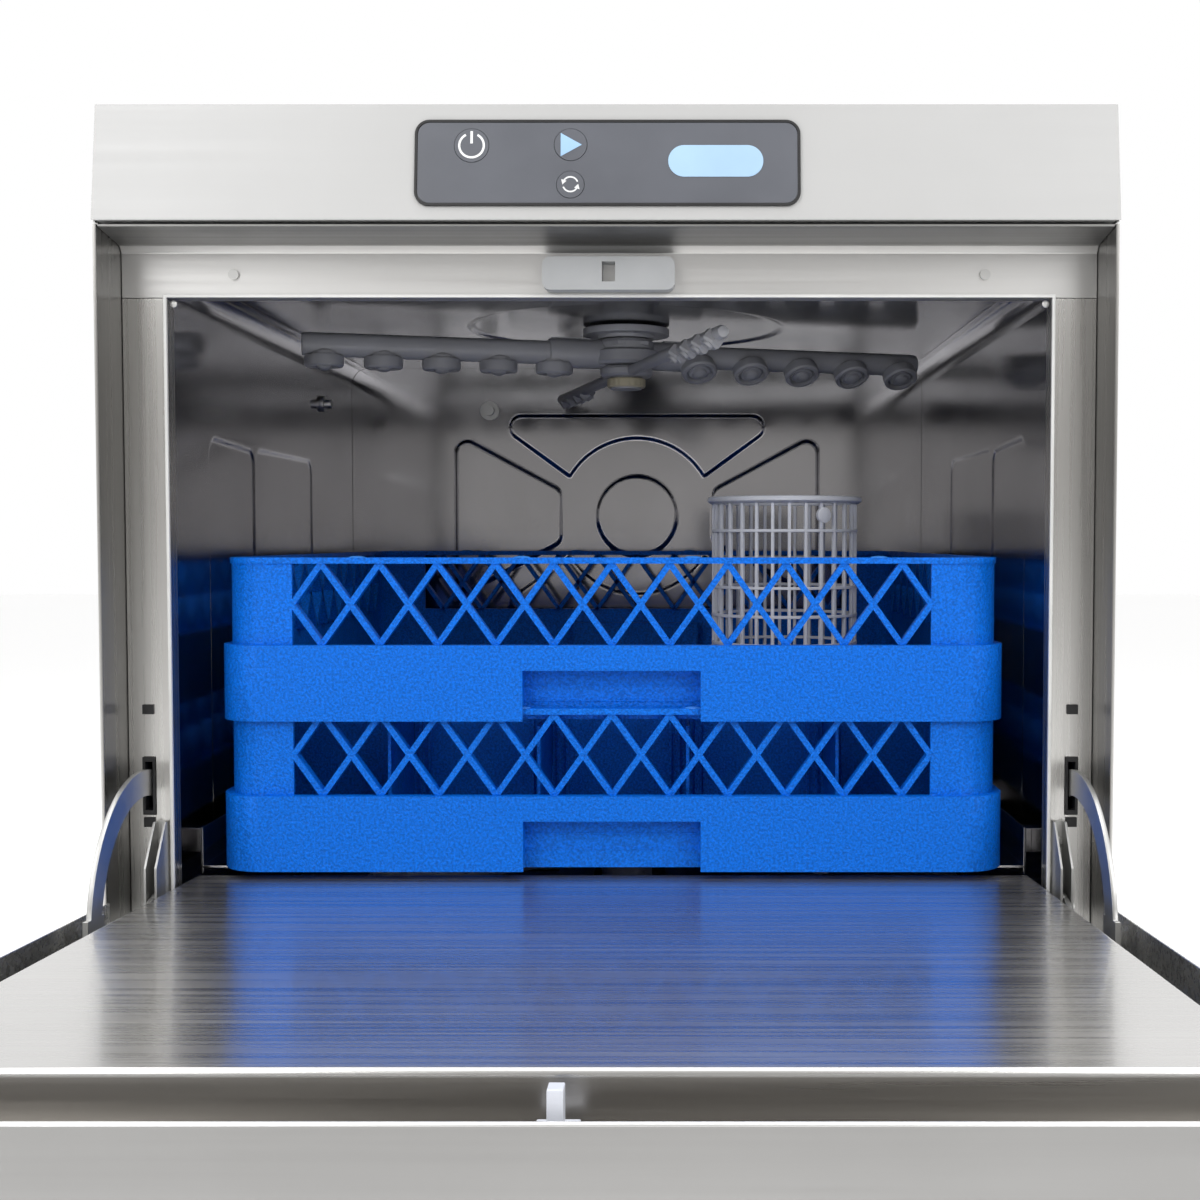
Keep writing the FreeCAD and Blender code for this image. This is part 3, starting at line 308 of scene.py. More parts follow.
class Shape:
    """Collects several closed parts into one mesh."""

    def __init__(self):
        self.verts, self.faces = [], []

    def add(self, verts, faces, matrix=None):
        base = len(self.verts)
        self.verts += [matrix @ Vector(v) if matrix else Vector(v) for v in verts]
        self.faces += [tuple(base + i for i in face) for face in faces]
        return self

    def lathe(self, profile, matrix=None, sides=40, wave=None):
        """Turns (radius, height) points about Z and closes both ends."""
        rows = len(profile)
        faces = [face for row in range(rows - 1) for face in wrap(row, row + 1, sides)]
        faces.append(tuple(range(sides))[::-1])
        faces.append(tuple((rows - 1) * sides + step for step in range(sides)))
        return self.add(turned(profile, sides, wave), faces, matrix)

    def ring(self, profile, matrix=None, sides=40, wave=None):
        """A closed (radius, height) outline turned about Z: a ring with a hole."""
        rows = len(profile)
        faces = [face for row in range(rows) for face in wrap(row, (row + 1) % rows, sides)]
        return self.add(turned(profile, sides, wave), faces, matrix)

    def block(self, low, high, matrix=None):
        x0, y0, z0 = low
        x1, y1, z1 = high
        verts = [(x0, y0, z0), (x1, y0, z0), (x1, y1, z0), (x0, y1, z0),
                 (x0, y0, z1), (x1, y0, z1), (x1, y1, z1), (x0, y1, z1)]
        return self.add(verts, BOX_FACES, matrix)

    def slab(self, outline, low, high, matrix=None):
        """A flat outline of (x, y) points, raised from low to high."""
        count = len(outline)
        verts = [(x, y, low) for x, y in outline] + [(x, y, high) for x, y in outline]
        faces = [tuple(range(count))[::-1], tuple(range(count, 2 * count))]
        faces += [(i, (i + 1) % count, (i + 1) % count + count, i + count) for i in range(count)]
        return self.add(verts, faces, matrix)

    def tube(self, path, radius, sides=12):
        """A round tube along points, closed at both ends."""
        points = [Vector(p) for p in path]
        count = len(points)
        verts = []
        normal = None
        for here in range(count):
            before = points[max(here - 1, 0)]
            after = points[min(here + 1, count - 1)]
            along = (after - before).normalized()
            if normal is None:
                normal = along.orthogonal().normalized()
            normal = (normal - along * normal.dot(along)).normalized()
            side = along.cross(normal)
            for step in range(sides):
                angle = 2 * math.pi * step / sides
                verts.append(points[here] + radius * (math.cos(angle) * normal + math.sin(angle) * side))
        faces = [face for row in range(count - 1) for face in wrap(row, row + 1, sides)]
        faces.append(tuple(range(sides))[::-1])
        faces.append(tuple((count - 1) * sides + step for step in range(sides)))
        return self.add(verts, faces)

    def finish(self, name, look, body, **options):
        return finish_piece(name, self.verts, self.faces, look, body, **options)


def at(point, turn=None):
    """A matrix that puts millimetre parts at a point in metres."""
    matrix = Matrix.Translation(point)
    if turn:
        matrix = matrix @ turn.to_4x4()
    return matrix @ Matrix.Scale(MM, 4)


# ---------------------------------------------------------------- pressed sheets
def smooth_step(field, width):
    edge = np.clip(field / width + 0.5, 0, 1)
    return edge * edge * (3 - 2 * edge)


def disc(u, v, centre, radius):
    return radius - np.hypot(u - centre[0], v - centre[1])


def polygon(u, v, points, radius):
    """Distance inside a convex polygon whose corners are rounded by radius (positive inside)."""
    inside = np.full(u.shape, 1e9)
    corners = [Vector(p) for p in points]
    count = len(corners)
    planes = []
    for here in range(count):
        one, two = corners[here], corners[(here + 1) % count]
        along = (two - one).normalized()
        planes.append((one, Vector((-along.y, along.x))))
    for one, normal in planes:
        inside = np.minimum(inside, (u - one.x) * normal.x + (v - one.y) * normal.y - radius)
    shrunk = []
    for here in range(count):
        (one, na), (two, nb) = planes[here - 1], planes[here]
        da, db = na.dot(one) + radius, nb.dot(two) + radius
        cross = na.x * nb.y - na.y * nb.x
        shrunk.append(((da * nb.y - db * na.y) / cross, (na.x * db - nb.x * da) / cross))
    out = np.full(u.shape, 1e9)
    for here in range(count):
        ax, ay = shrunk[here]
        bx, by = shrunk[(here + 1) % count]
        length = (bx - ax) ** 2 + (by - ay) ** 2
        t = np.clip(((u - ax) * (bx - ax) + (v - ay) * (by - ay)) / length, 0, 1)
        out = np.minimum(out, np.hypot(u - ax - t * (bx - ax), v - ay - t * (by - ay)))
    return np.where(inside > 0, inside + radius, radius - out)


def sheet_faces(count_u, count_v):
    """The faces of a sheet whose front and back are two grids of points, one after the other."""
    total = count_u * count_v
    index = np.arange(total).reshape(count_v, count_u)
    quads = np.stack([index[:-1, :-1], index[:-1, 1:], index[1:, 1:], index[1:, :-1]], -1).reshape(-1, 4)
    faces = [tuple(q) for q in quads.tolist()] + [tuple(q[::-1]) for q in (quads + total).tolist()]
    rim = [*index[0, :].tolist(), *index[1:, -1].tolist(), *index[-1, -2::-1].tolist(),
           *index[-2:0:-1, 0].tolist()]
    for here, there in zip(rim, rim[1:] + rim[:1]):
        faces.append((there, here, here + total, there + total))
    return faces


def pressed_sheet(name, node, look, corner, u_dir, v_dir, size, lift, field, step=1.6, thick=1.0):
    """A sheet on a grid, raised along u x v where field is positive; replaces its CAD node."""
    count_u, count_v = (max(2, int(round(length / step)) + 1) for length in size)
    u, v = np.meshgrid(np.linspace(0, size[0], count_u), np.linspace(0, size[1], count_v))
    raise_by = field(u, v) * lift
    normal = u_dir.cross(v_dir)
    base = np.array(corner)[None, None, :]
    grid = base + MM * (u[..., None] * np.array(u_dir) + v[..., None] * np.array(v_dir))
    face = grid + MM * raise_by[..., None] * np.array(normal)
    back = face - MM * thick * np.array(normal)
    verts = np.concatenate([face.reshape(-1, 3), back.reshape(-1, 3)])
    piece = finish_piece(name, verts.tolist(), sheet_faces(count_u, count_v), look, "cabinet", sharp=60)
    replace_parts(piece, node)


EMBOSS_CENTRE = (278.6, 299.1)


def back_emboss(u, v):
    """A disc, a rounded wing above and below it that clears a wider circle, and a lobe at each side."""
    x, z = u - EMBOSS_CENTRE[0], v - EMBOSS_CENTRE[1]
    total = smooth_step(disc(x, z, (0, 0), 38.6), 3)
    hole = disc(x, z, (0, 0), 75.8)
    for flip in (1, -1):
        wing = polygon(x, z * flip, [(-146, 97.2), (-64.6, 38), (64.6, 38), (146, 97.2)], 11)
        total = np.maximum(total, smooth_step(np.minimum(wing, -hole), 3))
        lobe = polygon(x * flip, z, [(74, -25), (176, -80), (176, 80), (74, 25)], 11)
        total = np.maximum(total, smooth_step(lobe, 3))
    return total


def side_emboss(u, v):
    """Two tall pressed panels, one behind the other."""
    near = polygon(u, v, [(90, -40), (197, -40), (197, 342), (90, 346)], 12)
    far = polygon(u, v, [(201, -40), (371, -40), (371, 344), (201, 344)], 12)
    return np.maximum(smooth_step(near, 4), smooth_step(far, 5))


def ceiling_emboss(u, v):
    """A shallow dish round the spindle and a rib across the front."""
    centre = (263.4, (HUB.y - FRONT) / MM - 40.1)
    dish = disc(u, v, centre, 122)
    rib = polygon(u, v, [(60, 16), (467, 16), (467, 44), (60, 44)], 9)
    return np.maximum(smooth_step(dish, 8), 0.8 * smooth_step(rib, 5))


def make_chamber():
    low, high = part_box("chamber_back_wall")
    span = (high - low) / MM
    pressed_sheet("pressed_back_wall", "chamber_back_wall", "steel_chamber",
                  Vector((low.x, low.y + 1.1 * MM, low.z)), Vector((1, 0, 0)), Vector((0, 0, 1)),
                  (span.x, span.z), 1.7, back_emboss, 1.3)
    top = (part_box("chamber_ceiling")[0].z - 18 * MM)
    for side, node in ((-1, "chamber_left_wall"), (1, "chamber_right_wall")):
        low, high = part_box(node)
        deep, tall = (high.y - low.y) / MM, (top - low.z) / MM
        face_x = (low.x + 1.2 * MM) if side < 0 else (high.x - 1.2 * MM)
        start = Vector((face_x, low.y, low.z))
        verts, faces = pressed_grid(start, side, deep, tall)
        cove = cove_strip(low, high, side, top)
        wall = finish_piece(f"pressed_{node}", verts, faces, "steel_chamber", "cabinet", sharp=60)
        edge = cove.finish(f"cove_{node}", "steel_chamber", "cabinet", sharp=50)
        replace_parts(wall, node)
        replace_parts(edge, node)
    low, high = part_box("chamber_ceiling")
    span = (high - low) / MM
    pressed_sheet("pressed_ceiling", "chamber_ceiling", "steel_ceiling_painted_shade",
                  Vector((low.x, high.y, low.z + 0.2 * MM)), Vector((1, 0, 0)), Vector((0, -1, 0)),
                  (span.x, span.y), -1.6, lambda u, v: ceiling_emboss(u, span.y - v), 2.0)


def pressed_grid(start, side, deep, tall, step=1.8):
    """Points and faces of a side wall, pressed outward in two panels."""
    count_u, count_v = int(deep / step), int(tall / step)
    u, v = np.meshgrid(np.linspace(0, deep, count_u), np.linspace(0, tall, count_v))
    lift = side_emboss(u, v) * 1.4
    rows = np.stack([start.x + side * lift * MM, start.y + u * MM, start.z + v * MM], -1).reshape(-1, 3)
    back = rows + np.array([side * 0.8 * MM, 0, 0])
    return np.concatenate([rows, back]).tolist(), sheet_faces(count_u, count_v)


def cove_strip(low, high, side, top):
    """The rolled corner between a side wall and the ceiling."""
    outer = high.x if side > 0 else low.x
    face_x = outer - side * 1.2 * MM
    inner_x = (low.x if side > 0 else high.x)
    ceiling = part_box("chamber_ceiling")[0].z
    points = [(face_x, top)]
    for step in range(9):
        angle = math.pi / 2 * step / 8
        points.append((face_x - side * (1 - math.cos(angle)) * abs(face_x - inner_x),
                       top + math.sin(angle) * (ceiling - top)))
    thick = 0.8 * MM
    outline = points + [(x + side * thick * 0.7, z + thick) for x, z in reversed(points)]
    shape = Shape()
    count = len(outline)
    verts = [(x, low.y, z) for x, z in outline] + [(x, high.y, z) for x, z in outline]
    faces = [(i, (i + 1) % count, (i + 1) % count + count, i + count) for i in range(count)]
    half = len(points)
    for i in range(half - 1):
        faces.append((i, i + 1, count - 2 - i, count - 1 - i))
        faces.append((i + count, count - 1 - i + count, count - 2 - i + count, i + 1 + count))
    return shape.add(verts, faces)


# ---------------------------------------------------------------- spray arms
def ring_nozzle(shape, matrix):
    """A clamp ring with two lugs and a ball jet; its face looks along -Z."""
    shape.ring([(9.5, 0), (13.4, -0.6), (14.0, -3), (13.8, -8), (12.6, -9.4), (10.6, -9.4), (9.8, -7)],
               matrix, 36, lambda a: 1 + 0.05 * (abs(math.cos(a)) > 0.97))
    shape.lathe([(0.1, 2), (10.4, 2), (10.4, -5.5), (8.6, -7), (8.2, -8.2), (6.0, -8.2), (5.2, -10.2),
                 (2.6, -11.6), (0.1, -11.9)], matrix, 28)
    shape.lathe([(0.1, 9), (4.5, 9), (8.8, 3), (9.6, 0), (0.1, 0)], matrix, 28)


def hex_nozzle(shape, matrix):
    """A small hexagonal rinse jet; its face looks along -Z."""
    shape.lathe([(0.1, 3), (7.2, 3), (7.4, -3.5), (6.2, -5), (0.1, -5)], matrix, 6)
    shape.lathe([(0.1, -4), (4.2, -4.5), (3.4, -7), (1.2, -7), (0.9, -5.6), (0.1, -5.6)], matrix, 16)


def wash_arm(name, node, joint, body, up, reach, turn):
    """Two round tubes from a sleeved hub, each with five ring nozzles that look up or down."""
    hub = Vector(JOINTS[joint]["pos_m"])
    low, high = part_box(node)
    flip = -1 if up else 1
    tube_z = (high.z - 12 * MM) if not up else (low.z + 10.5 * MM)
    base = Vector((hub.x, hub.y, tube_z))
    spin = Matrix.Rotation(math.radians(turn), 3, "Z")
    shape = Shape()
    mirror = Matrix.Diagonal((1, 1, flip)).to_3x3()
    frame_at = at(base, spin @ mirror)
    shape.ring([(12.4, 11.5), (20, 11.5), (22, 9), (22, 4), (26.5, 2), (27, -6), (25, -8.5), (12.4, -8.5)],
               frame_at, 48)
    shape.ring([(21, 9.5), (24.5, 9.0), (24.5, 6.2), (21, 5.8)], frame_at, 6)
    for side in (-1, 1):
        along = Matrix.Rotation(math.pi / 2 * side, 3, "Y")
        sleeve = at(base, spin @ mirror @ along)
        shape.lathe([(10.5, 16), (11.2, 22), (11.6, 58), (11.0, 62), (9.2, 63), (8.9, reach - 3),
                     (8.2, reach), (0.1, reach)], sleeve, 32)
        for lift in (-1, 1):
            shape.block((side * 64 if side > 0 else -reach + 8, lift * 8.3 - 0.7, -1.2),
                        (reach - 8 if side > 0 else -64, lift * 8.3 + 0.7, 0.4), frame_at)
        shape.block((min(side * 30, side * 60), -3, 8), (max(side * 30, side * 60), 3, 12.0), frame_at)
        for step in range(5):
            x = side * (reach - 16 - step * (reach - 74) / 4)
            lean = math.radians(0 if side < 0 else -34)
            tip = Matrix.Rotation(lean, 3, "X")
            spot = Matrix.Translation(Vector((x, 0, 0))) @ tip.to_4x4() @ Matrix.Translation((0, 0, -7.4))
            ring_nozzle(shape, frame_at @ spot)
    piece = shape.finish(name, "grey", body, sharp=32)
    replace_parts(piece, node)


def rinse_arm(name, node, joint, body, up, reach, turn):
    """A thin cross arm with four hexagonal jets each side, set on a ring under the hub."""
    hub = Vector(JOINTS[joint]["pos_m"])
    low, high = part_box(node)
    flip = -1 if up else 1
    base = Vector((hub.x, hub.y, (high.z - 4.3 * MM) if not up else (low.z + 4.3 * MM)))
    spin = Matrix.Rotation(math.radians(turn), 3, "Z")
    mirror = Matrix.Diagonal((1, 1, flip)).to_3x3()
    frame_at = at(base, spin @ mirror)
    shape = Shape()
    shape.ring([(12.6, 4), (19, 4), (20.5, 2), (20.5, -2), (18.5, -4), (12.6, -4)], frame_at, 40)
    for side in (-1, 1):
        along = Matrix.Rotation(math.pi / 2 * side, 3, "Y")
        shape.lathe([(4.2, 18), (4.2, 60), (4.6, 80), (4.6, reach - 6), (3.6, reach - 2), (0.1, reach - 1)],
                    at(base, spin @ mirror @ along), 20)
        for step in range(4):
            x = side * (reach - 18 - step * 27)
            tip = Matrix.Rotation(math.radians(-38 * side), 3, "X")
            spot = Matrix.Translation((x, 0, 0)) @ tip.to_4x4() @ Matrix.Translation((0, 0, -3.2))
            hex_nozzle(shape, frame_at @ spot)
    piece = shape.finish(name, "grey", body, sharp=30)
    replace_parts(piece, node)


def make_sprays():
    for level, up, wash_reach, rinse_reach, turn in (("upper", False, 249, 249, 16.6),
                                                     ("lower", True, 229, 223, 40.6)):
        rest = (f"{level}_spray_turn", f"{level}_sprays", up)
        wash_arm(f"{level}_wash_moulding", f"{level}_wash_arm", *rest, wash_reach, turn)
        rinse_arm(f"{level}_rinse_moulding", f"{level}_rinse_arm", *rest, rinse_reach, turn - 90)
    base = Vector((HUB.x, HUB.y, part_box("upper_arm_nut")[0].z))
    nut = Shape().ring([(12.1, 0.4), (14.4, 0.2), (15.2, 1.2), (15.2, 6.4), (14.4, 7.4), (12.1, 7.4)],
                       at(base), 72, lambda a: 1 - 0.03 * (math.sin(18 * a) > 0))
    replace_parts(nut.finish("knurled_arm_nut", "nut", "cabinet", sharp=25), "upper_arm_nut")


# ---------------------------------------------------------------- cutlery basket
def make_basket():
    """An open moulded grid: upright bars, five hoops, a rim with a bead and a floor of rings and spokes."""
    low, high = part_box("cutlery_basket")
    centre = Vector(((low.x + high.x) / 2, (low.y + high.y) / 2, low.z))
    tall = (high.z - low.z) / MM
    radius = (high.x - low.x) / 2 / MM - 3.4
    shape = Shape()
    frame_at = at(centre)
    count = 28
    for step in range(count):
        angle = 2 * math.pi * step / count
        turn = Matrix.Rotation(angle, 3, "Z")
        shape.block((radius - 2.6, -1.15, 2), (radius, 1.15, tall - 3), at(centre, turn))
    hoops = [(3.5, 3.0)] + [(24 + 20.5 * k, 1.7) for k in range(5)]
    for height, half in hoops:
        shape.ring([(radius - 2.9, height - half / 1.6), (radius + 0.2, height - half / 1.6),
                    (radius + 0.2, height + half / 1.6), (radius - 2.9, height + half / 1.6)], frame_at, 84)
    shape.ring([(radius - 3.2, tall - 5.4), (radius + 0.6, tall - 5.4), (radius + 3.3, tall - 3.6),
                (radius + 3.3, tall - 0.8), (radius + 2.2, tall - 0.1), (radius - 1.8, tall - 0.1),
                (radius - 3.2, tall - 1.4)], frame_at, 84)
    for inner in (12, 25, 38):
        shape.ring([(inner, 0.2), (inner + 2.4, 0.2), (inner + 2.4, 3.4), (inner, 3.4)], frame_at, 60)
    for step in range(12):
        turn = Matrix.Rotation(2 * math.pi * step / 12, 3, "Z")
        shape.block((1, -1.2, 0.2), (radius - 1, 1.2, 3.2), at(centre, turn))
    tag = Matrix.Rotation(math.radians(-62), 3, "Z") @ Matrix.Rotation(math.pi / 2, 3, "Y")
    spot = at(centre + Vector((0, 0, (tall - 14) * MM)), tag)
    shape.lathe([(0.1, radius - 2.4), (5.6, radius - 2.4), (5.6, radius + 0.5), (4.8, radius + 0.9),
                 (0.1, radius + 0.9)], spot, 28)
    piece = shape.finish("basket_grid", "basket", "cutlery_basket", sharp=40, bevel=0.35 * MM)
    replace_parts(piece, "cutlery_basket")


# ---------------------------------------------------------------- rack details
LATTICE_PITCH = 36.6
WINDOW = (47.9, 99.2)    # lowest and highest millimetre of the window
WALL_FACE = 245.3
BAR_DEPTH = 9.0
BAR_HALF = 1.9


def deep_lattice(shape, centre):
    """The crossed bars' full depth behind the four windows of a rack."""
    pitch, wall, deep, half = LATTICE_PITCH, WALL_FACE, BAR_DEPTH, BAR_HALF
    low, high = WINDOW
    for turn in range(4):
        matrix = at(centre, Matrix.Rotation(math.pi / 2 * turn, 3, "Z"))
        for count in range(-6, 7):
            for lean in (-1, 1):
                foot, edge = count * pitch, 5.5 * pitch
                stops = sorted((-edge - foot, edge - foot), key=lambda d: d * lean)
                start, stop = (max(0.0, stops[0] * lean / pitch), min(1.0, stops[1] * lean / pitch))
                if stop - start < 0.05:
                    continue
                ends = [(foot + lean * pitch * t, low + (high - low) * t) for t in (start, stop)]
                verts = [(x + dx, -wall + dy, z) for x, z in ends
                         for dx, dy in ((-half, 0), (half, 0), (half, deep), (-half, deep))]
                shape.add(verts, BOX_FACES, matrix)


def make_rack_details():
    """Lattice depth, pocket ledges and rim studs on both racks, ribbed posts on the dividers."""
    for body in ("lower_rack", "upper_rack"):
        low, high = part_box(body)
        centre = Vector(((low.x + high.x) / 2, (low.y + high.y) / 2, low.z))
        shape = Shape()
        deep_lattice(shape, centre)
        frame_at = at(centre)
        for z in (11.0, 21.0):
            shape.block((-55.8, -236.4, z), (55.8, -233.9, z + 1.4), frame_at)
        shape.finish(f"{body}_ribs", "blue", body, sharp=30, bevel=0.3 * MM)
        studs = Shape()
        for x in (-160.8, -56.7, 51.2, 168.5):
            for side in (-1, 1):
                spot = frame_at @ Matrix.Translation((x, side * 242.6, 102.9))
                spot = spot @ Matrix.Diagonal((1.7, 0.8, 1, 1))
                studs.lathe([(0.1, 0), (3.4, 0), (2.8, 0.7), (1.4, 1.1), (0.1, 1.2)], spot, 20)
        studs.finish(f"{body}_studs", "blue_highlight_gloss", body, sharp=60)
    low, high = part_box("lower_rack")
    frame_at = at(Vector(((low.x + high.x) / 2, (low.y + high.y) / 2, low.z)))
    posts = Shape()
    cells = (-144, -48, 48, 144)
    for x in cells:
        for y in cells:
            for step in range(-2, 3):
                for side in (-1, 1):
                    near = sorted((side * 1.1, side * 3.8))
                    posts.block((x + step * 6 - 0.9, y + near[0], 16), (x + step * 6 + 0.9, y + near[1], 88),
                                frame_at)
    posts.finish("divider_posts", "blue", "lower_rack", sharp=30)


# ---------------------------------------------------------------- door skins with real bends
DOOR_TILT = 3.0
LINER = ((-267, -366, -9.2), (267, 48, 12))
HANDLE_HALF = 293.9


def door_frame():
    """Millimetres about the hinge axis, on the open door that stands a few degrees up."""
    tilt = Matrix.Rotation(-math.radians(DOOR_TILT), 3, "X")
    return at(Vector(JOINTS["door_hinge"]["pos_m"]), tilt)


def bent_tray(name, low, high, look, matrix, radius):
    """A sheet with all its upper edges bent down, without a bottom."""
    x0, y0, z0 = low
    x1, y1, z1 = high
    corners = [(x0, y0), (x1, y0), (x1, y1), (x0, y1)]
    verts = [matrix @ Vector((x, y, z)) for z in (z1, z0) for x, y in corners]
    faces = [(0, 1, 2, 3)] + [((i + 1) % 4, i, i + 4, (i + 1) % 4 + 4) for i in range(4)]
    piece = finish_piece(name, verts, faces, look, "door", sharp=50)
    bend = piece.modifiers.new("bends", "BEVEL")
    bend.width, bend.segments, bend.limit_method = radius * MM, 4, "ANGLE"
    bend.harden_normals = True
    skin = piece.modifiers.new("skin", "SOLIDIFY")
    skin.thickness, skin.offset = 1.2 * MM, -1
    return piece


def make_door_skins():
    """The liner with rounded folds, the channel behind the handle, and the handle with its hemmed lip."""
    matrix = door_frame()
    liner = bent_tray("liner_tray", *LINER, "steel_door", matrix, 2.6)
    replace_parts(liner, "door_inner_panel")
    channel = Shape().block((-292.6, -396.3, -9.2), (292.6, -365.5, -8), matrix)
    channel.block((-266.9, -366.02, -8.2), (266.9, -365.6, 8.8), matrix)
    floor = channel.finish("liner_channel", "steel_channel_painted_shade", "door")
    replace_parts(floor, "door_inner_panel")
    outline = [(-398, 1.6), (-398, -39)]
    for step in range(1, 9):
        angle = math.pi / 2 * step / 8
        outline.append((-392 - 6 * math.cos(angle), -39 - 6 * math.sin(angle)))
    outline += [(-377.5, -45), (-376, -43.5), (-376, -38), (-377.4, -38), (-377.4, -43.4)]
    for step in range(9):
        angle = math.pi / 2 * (1 - step / 8)
        outline.append((-392 - 4.5 * math.cos(angle), -39 - 4.5 * math.sin(angle)))
    outline.append((-396.5, 1.6))
    side = Matrix(((0, 0, 1), (1, 0, 0), (0, 1, 0))).to_4x4()
    grip = Shape().slab(outline, -HANDLE_HALF, HANDLE_HALF, matrix @ side)
    strip = grip.finish("handle_bar", "steel_handle_painted_shade", "door", sharp=30)
    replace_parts(strip, "door_handle")
    hem = Shape()
    hem.tube([matrix @ Vector((x, -396.55, 1.5)) for x in (-HANDLE_HALF, HANDLE_HALF)], 1.45 * MM, 16)
    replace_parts(hem.finish("handle_hem", "steel_hem_highlight", "door", sharp=60), "door_handle")


# ---------------------------------------------------------------- control panel
def panel_frame():
    """The slanted panel's own frame: X across, Z up its face, -Y out of it."""
    axis = JOINTS["power_press"]["axis"]
    lean = math.atan2(-axis[2], axis[1])
    low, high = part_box("overlay_bezel")
    thick = 0.8 * MM
    centre = (low + high) / 2 + Vector((0, thick * math.cos(lean), -thick * math.sin(lean)))
    return Matrix.Translation(centre) @ Matrix.Rotation(-lean, 4, "X") @ Matrix.Scale(MM, 4)


def arc_outline(radius, width, start, stop, steps=28):
    outer = [(math.cos(a) * (radius + width / 2), math.sin(a) * (radius + width / 2))
             for a in np.linspace(start, stop, steps)]
    inner = [(math.cos(a) * (radius - width / 2), math.sin(a) * (radius - width / 2))
             for a in np.linspace(stop, start, steps)]
    return outer + inner


def make_icons():
    """Printed symbols, a few hundredths of a millimetre proud of the button caps."""
    panel = panel_frame()
    upright = Matrix.Rotation(math.pi / 2, 4, "X")

    def spot(x, z, out=1.46):
        return panel @ Matrix.Translation((x, -out, z)) @ upright

    where = {name: ((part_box(name)[0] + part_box(name)[1]) / 2 - panel.translation) / MM
             for name in ("power_button", "start_button", "cycle_button")}
    x, z = where["power_button"].x, where["power_button"].z
    power = Shape().slab(arc_outline(7.2, 1.3, math.radians(118), math.radians(422)), 0, 0.1, spot(x, z))
    power.slab([(-0.75, 1.2), (0.75, 1.2), (0.75, 8.6), (-0.75, 8.6)], 0, 0.1, spot(x, z))
    power.finish("power_symbol", "icon_white", "power_button")
    x, z = where["start_button"].x, where["start_button"].z
    play = Shape().slab([(-5.8, -7), (6.6, 0), (-5.8, 7)], 0, 0.1, spot(x, z))
    play.finish("start_symbol", "icon_blue", "start_button")
    x, z = where["cycle_button"].x, where["cycle_button"].z
    cycle = Shape()
    for begin in (20, 200):
        cycle.slab(arc_outline(4.4, 0.9, math.radians(begin), math.radians(begin + 130)), 0, 0.1, spot(x, z))
        end = math.radians(begin + 138)
        tip = [(math.cos(end) * 4.4 + math.cos(end + a) * 1.9, math.sin(end) * 4.4 + math.sin(end + a) * 1.9)
               for a in (math.radians(95), math.radians(215), math.radians(335))]
        cycle.slab(tip, 0, 0.1, spot(x, z))
    cycle.finish("cycle_symbol", "icon_white", "cycle_button")


# ---------------------------------------------------------------- small steel parts
def screw_head(shape, matrix, radius=4.0):
    """A pan head with a cross recess, facing -Y of its matrix after the turn."""
    shape.lathe([(0.1, 0), (radius, 0), (radius, 0.7), (radius * 0.8, 1.5), (radius * 0.35, 1.9), (0.1, 1.9)],
                matrix, 28)
    shape.block((-radius * 0.55, -0.35, 1.7), (radius * 0.55, 0.35, 2.05), matrix)
    shape.block((-0.35, -radius * 0.55, 1.7), (0.35, radius * 0.55, 2.05), matrix)


def make_fixings():
    front = Matrix.Rotation(math.pi / 2, 3, "X")
    heads = Shape()
    for side in (-1, 1):
        for z in (28, -32):
            screw_head(heads, at(place(side * 277, 37.0, z), front), 3.2)
    heads.finish("bracket_screws", "steel_dull", "cabinet")
    axis = Vector(JOINTS["door_hinge"]["pos_m"])
    pins = Shape()
    for side in (-1, 1):
        along = Matrix.Rotation(-math.pi / 2 * side, 3, "Y")
        spot = at(Vector((side * 272.9 * MM, axis.y, axis.z)), along)
        pins.lathe([(0.1, 0), (5.2, 0), (5.6, 0.4), (5.0, 1.1), (0.1, 1.3)], spot, 28)
    pins.finish("pin_heads", "steel_dull", "cabinet")
    dots = Shape()
    for side in (-1, 1):
        spot = at(place(side * 266.5, 41, 358.5), front)
        dots.lathe([(0.1, 0), (2.4, 0), (2.2, 1.4), (1.2, 2.2), (0.1, 2.4)], spot, 20)
    dots.finish("weld_dots", "steel_dull", "cabinet")


def make_springs():
    """Wound extension springs between the stay arms and the base."""
    shape = Shape()
    low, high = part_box("door_springs")
    for side in (-1, 1):
        x = side * 291.5 * MM
        y = (low.y + high.y) / 2
        bottom, top = low.z + 28 * MM, high.z - 26 * MM
        turns = 46
        path = []
        for step in range(turns * 12 + 1):
            angle = 2 * math.pi * step / 12
            rise = bottom + (top - bottom) * step / (turns * 12)
            path.append((x + 3.3 * MM * math.cos(angle), y + 3.3 * MM * math.sin(angle), rise))
        shape.tube(path, 0.62 * MM, 6)
        shape.tube([(x, y, top), (x, y, high.z)], 0.9 * MM, 10)
        shape.tube([(x, y, low.z), (x, y, bottom)], 0.9 * MM, 10)
    piece = shape.finish("wound_door_springs", "steel_dull", "cabinet")
    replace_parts(piece, "door_springs")


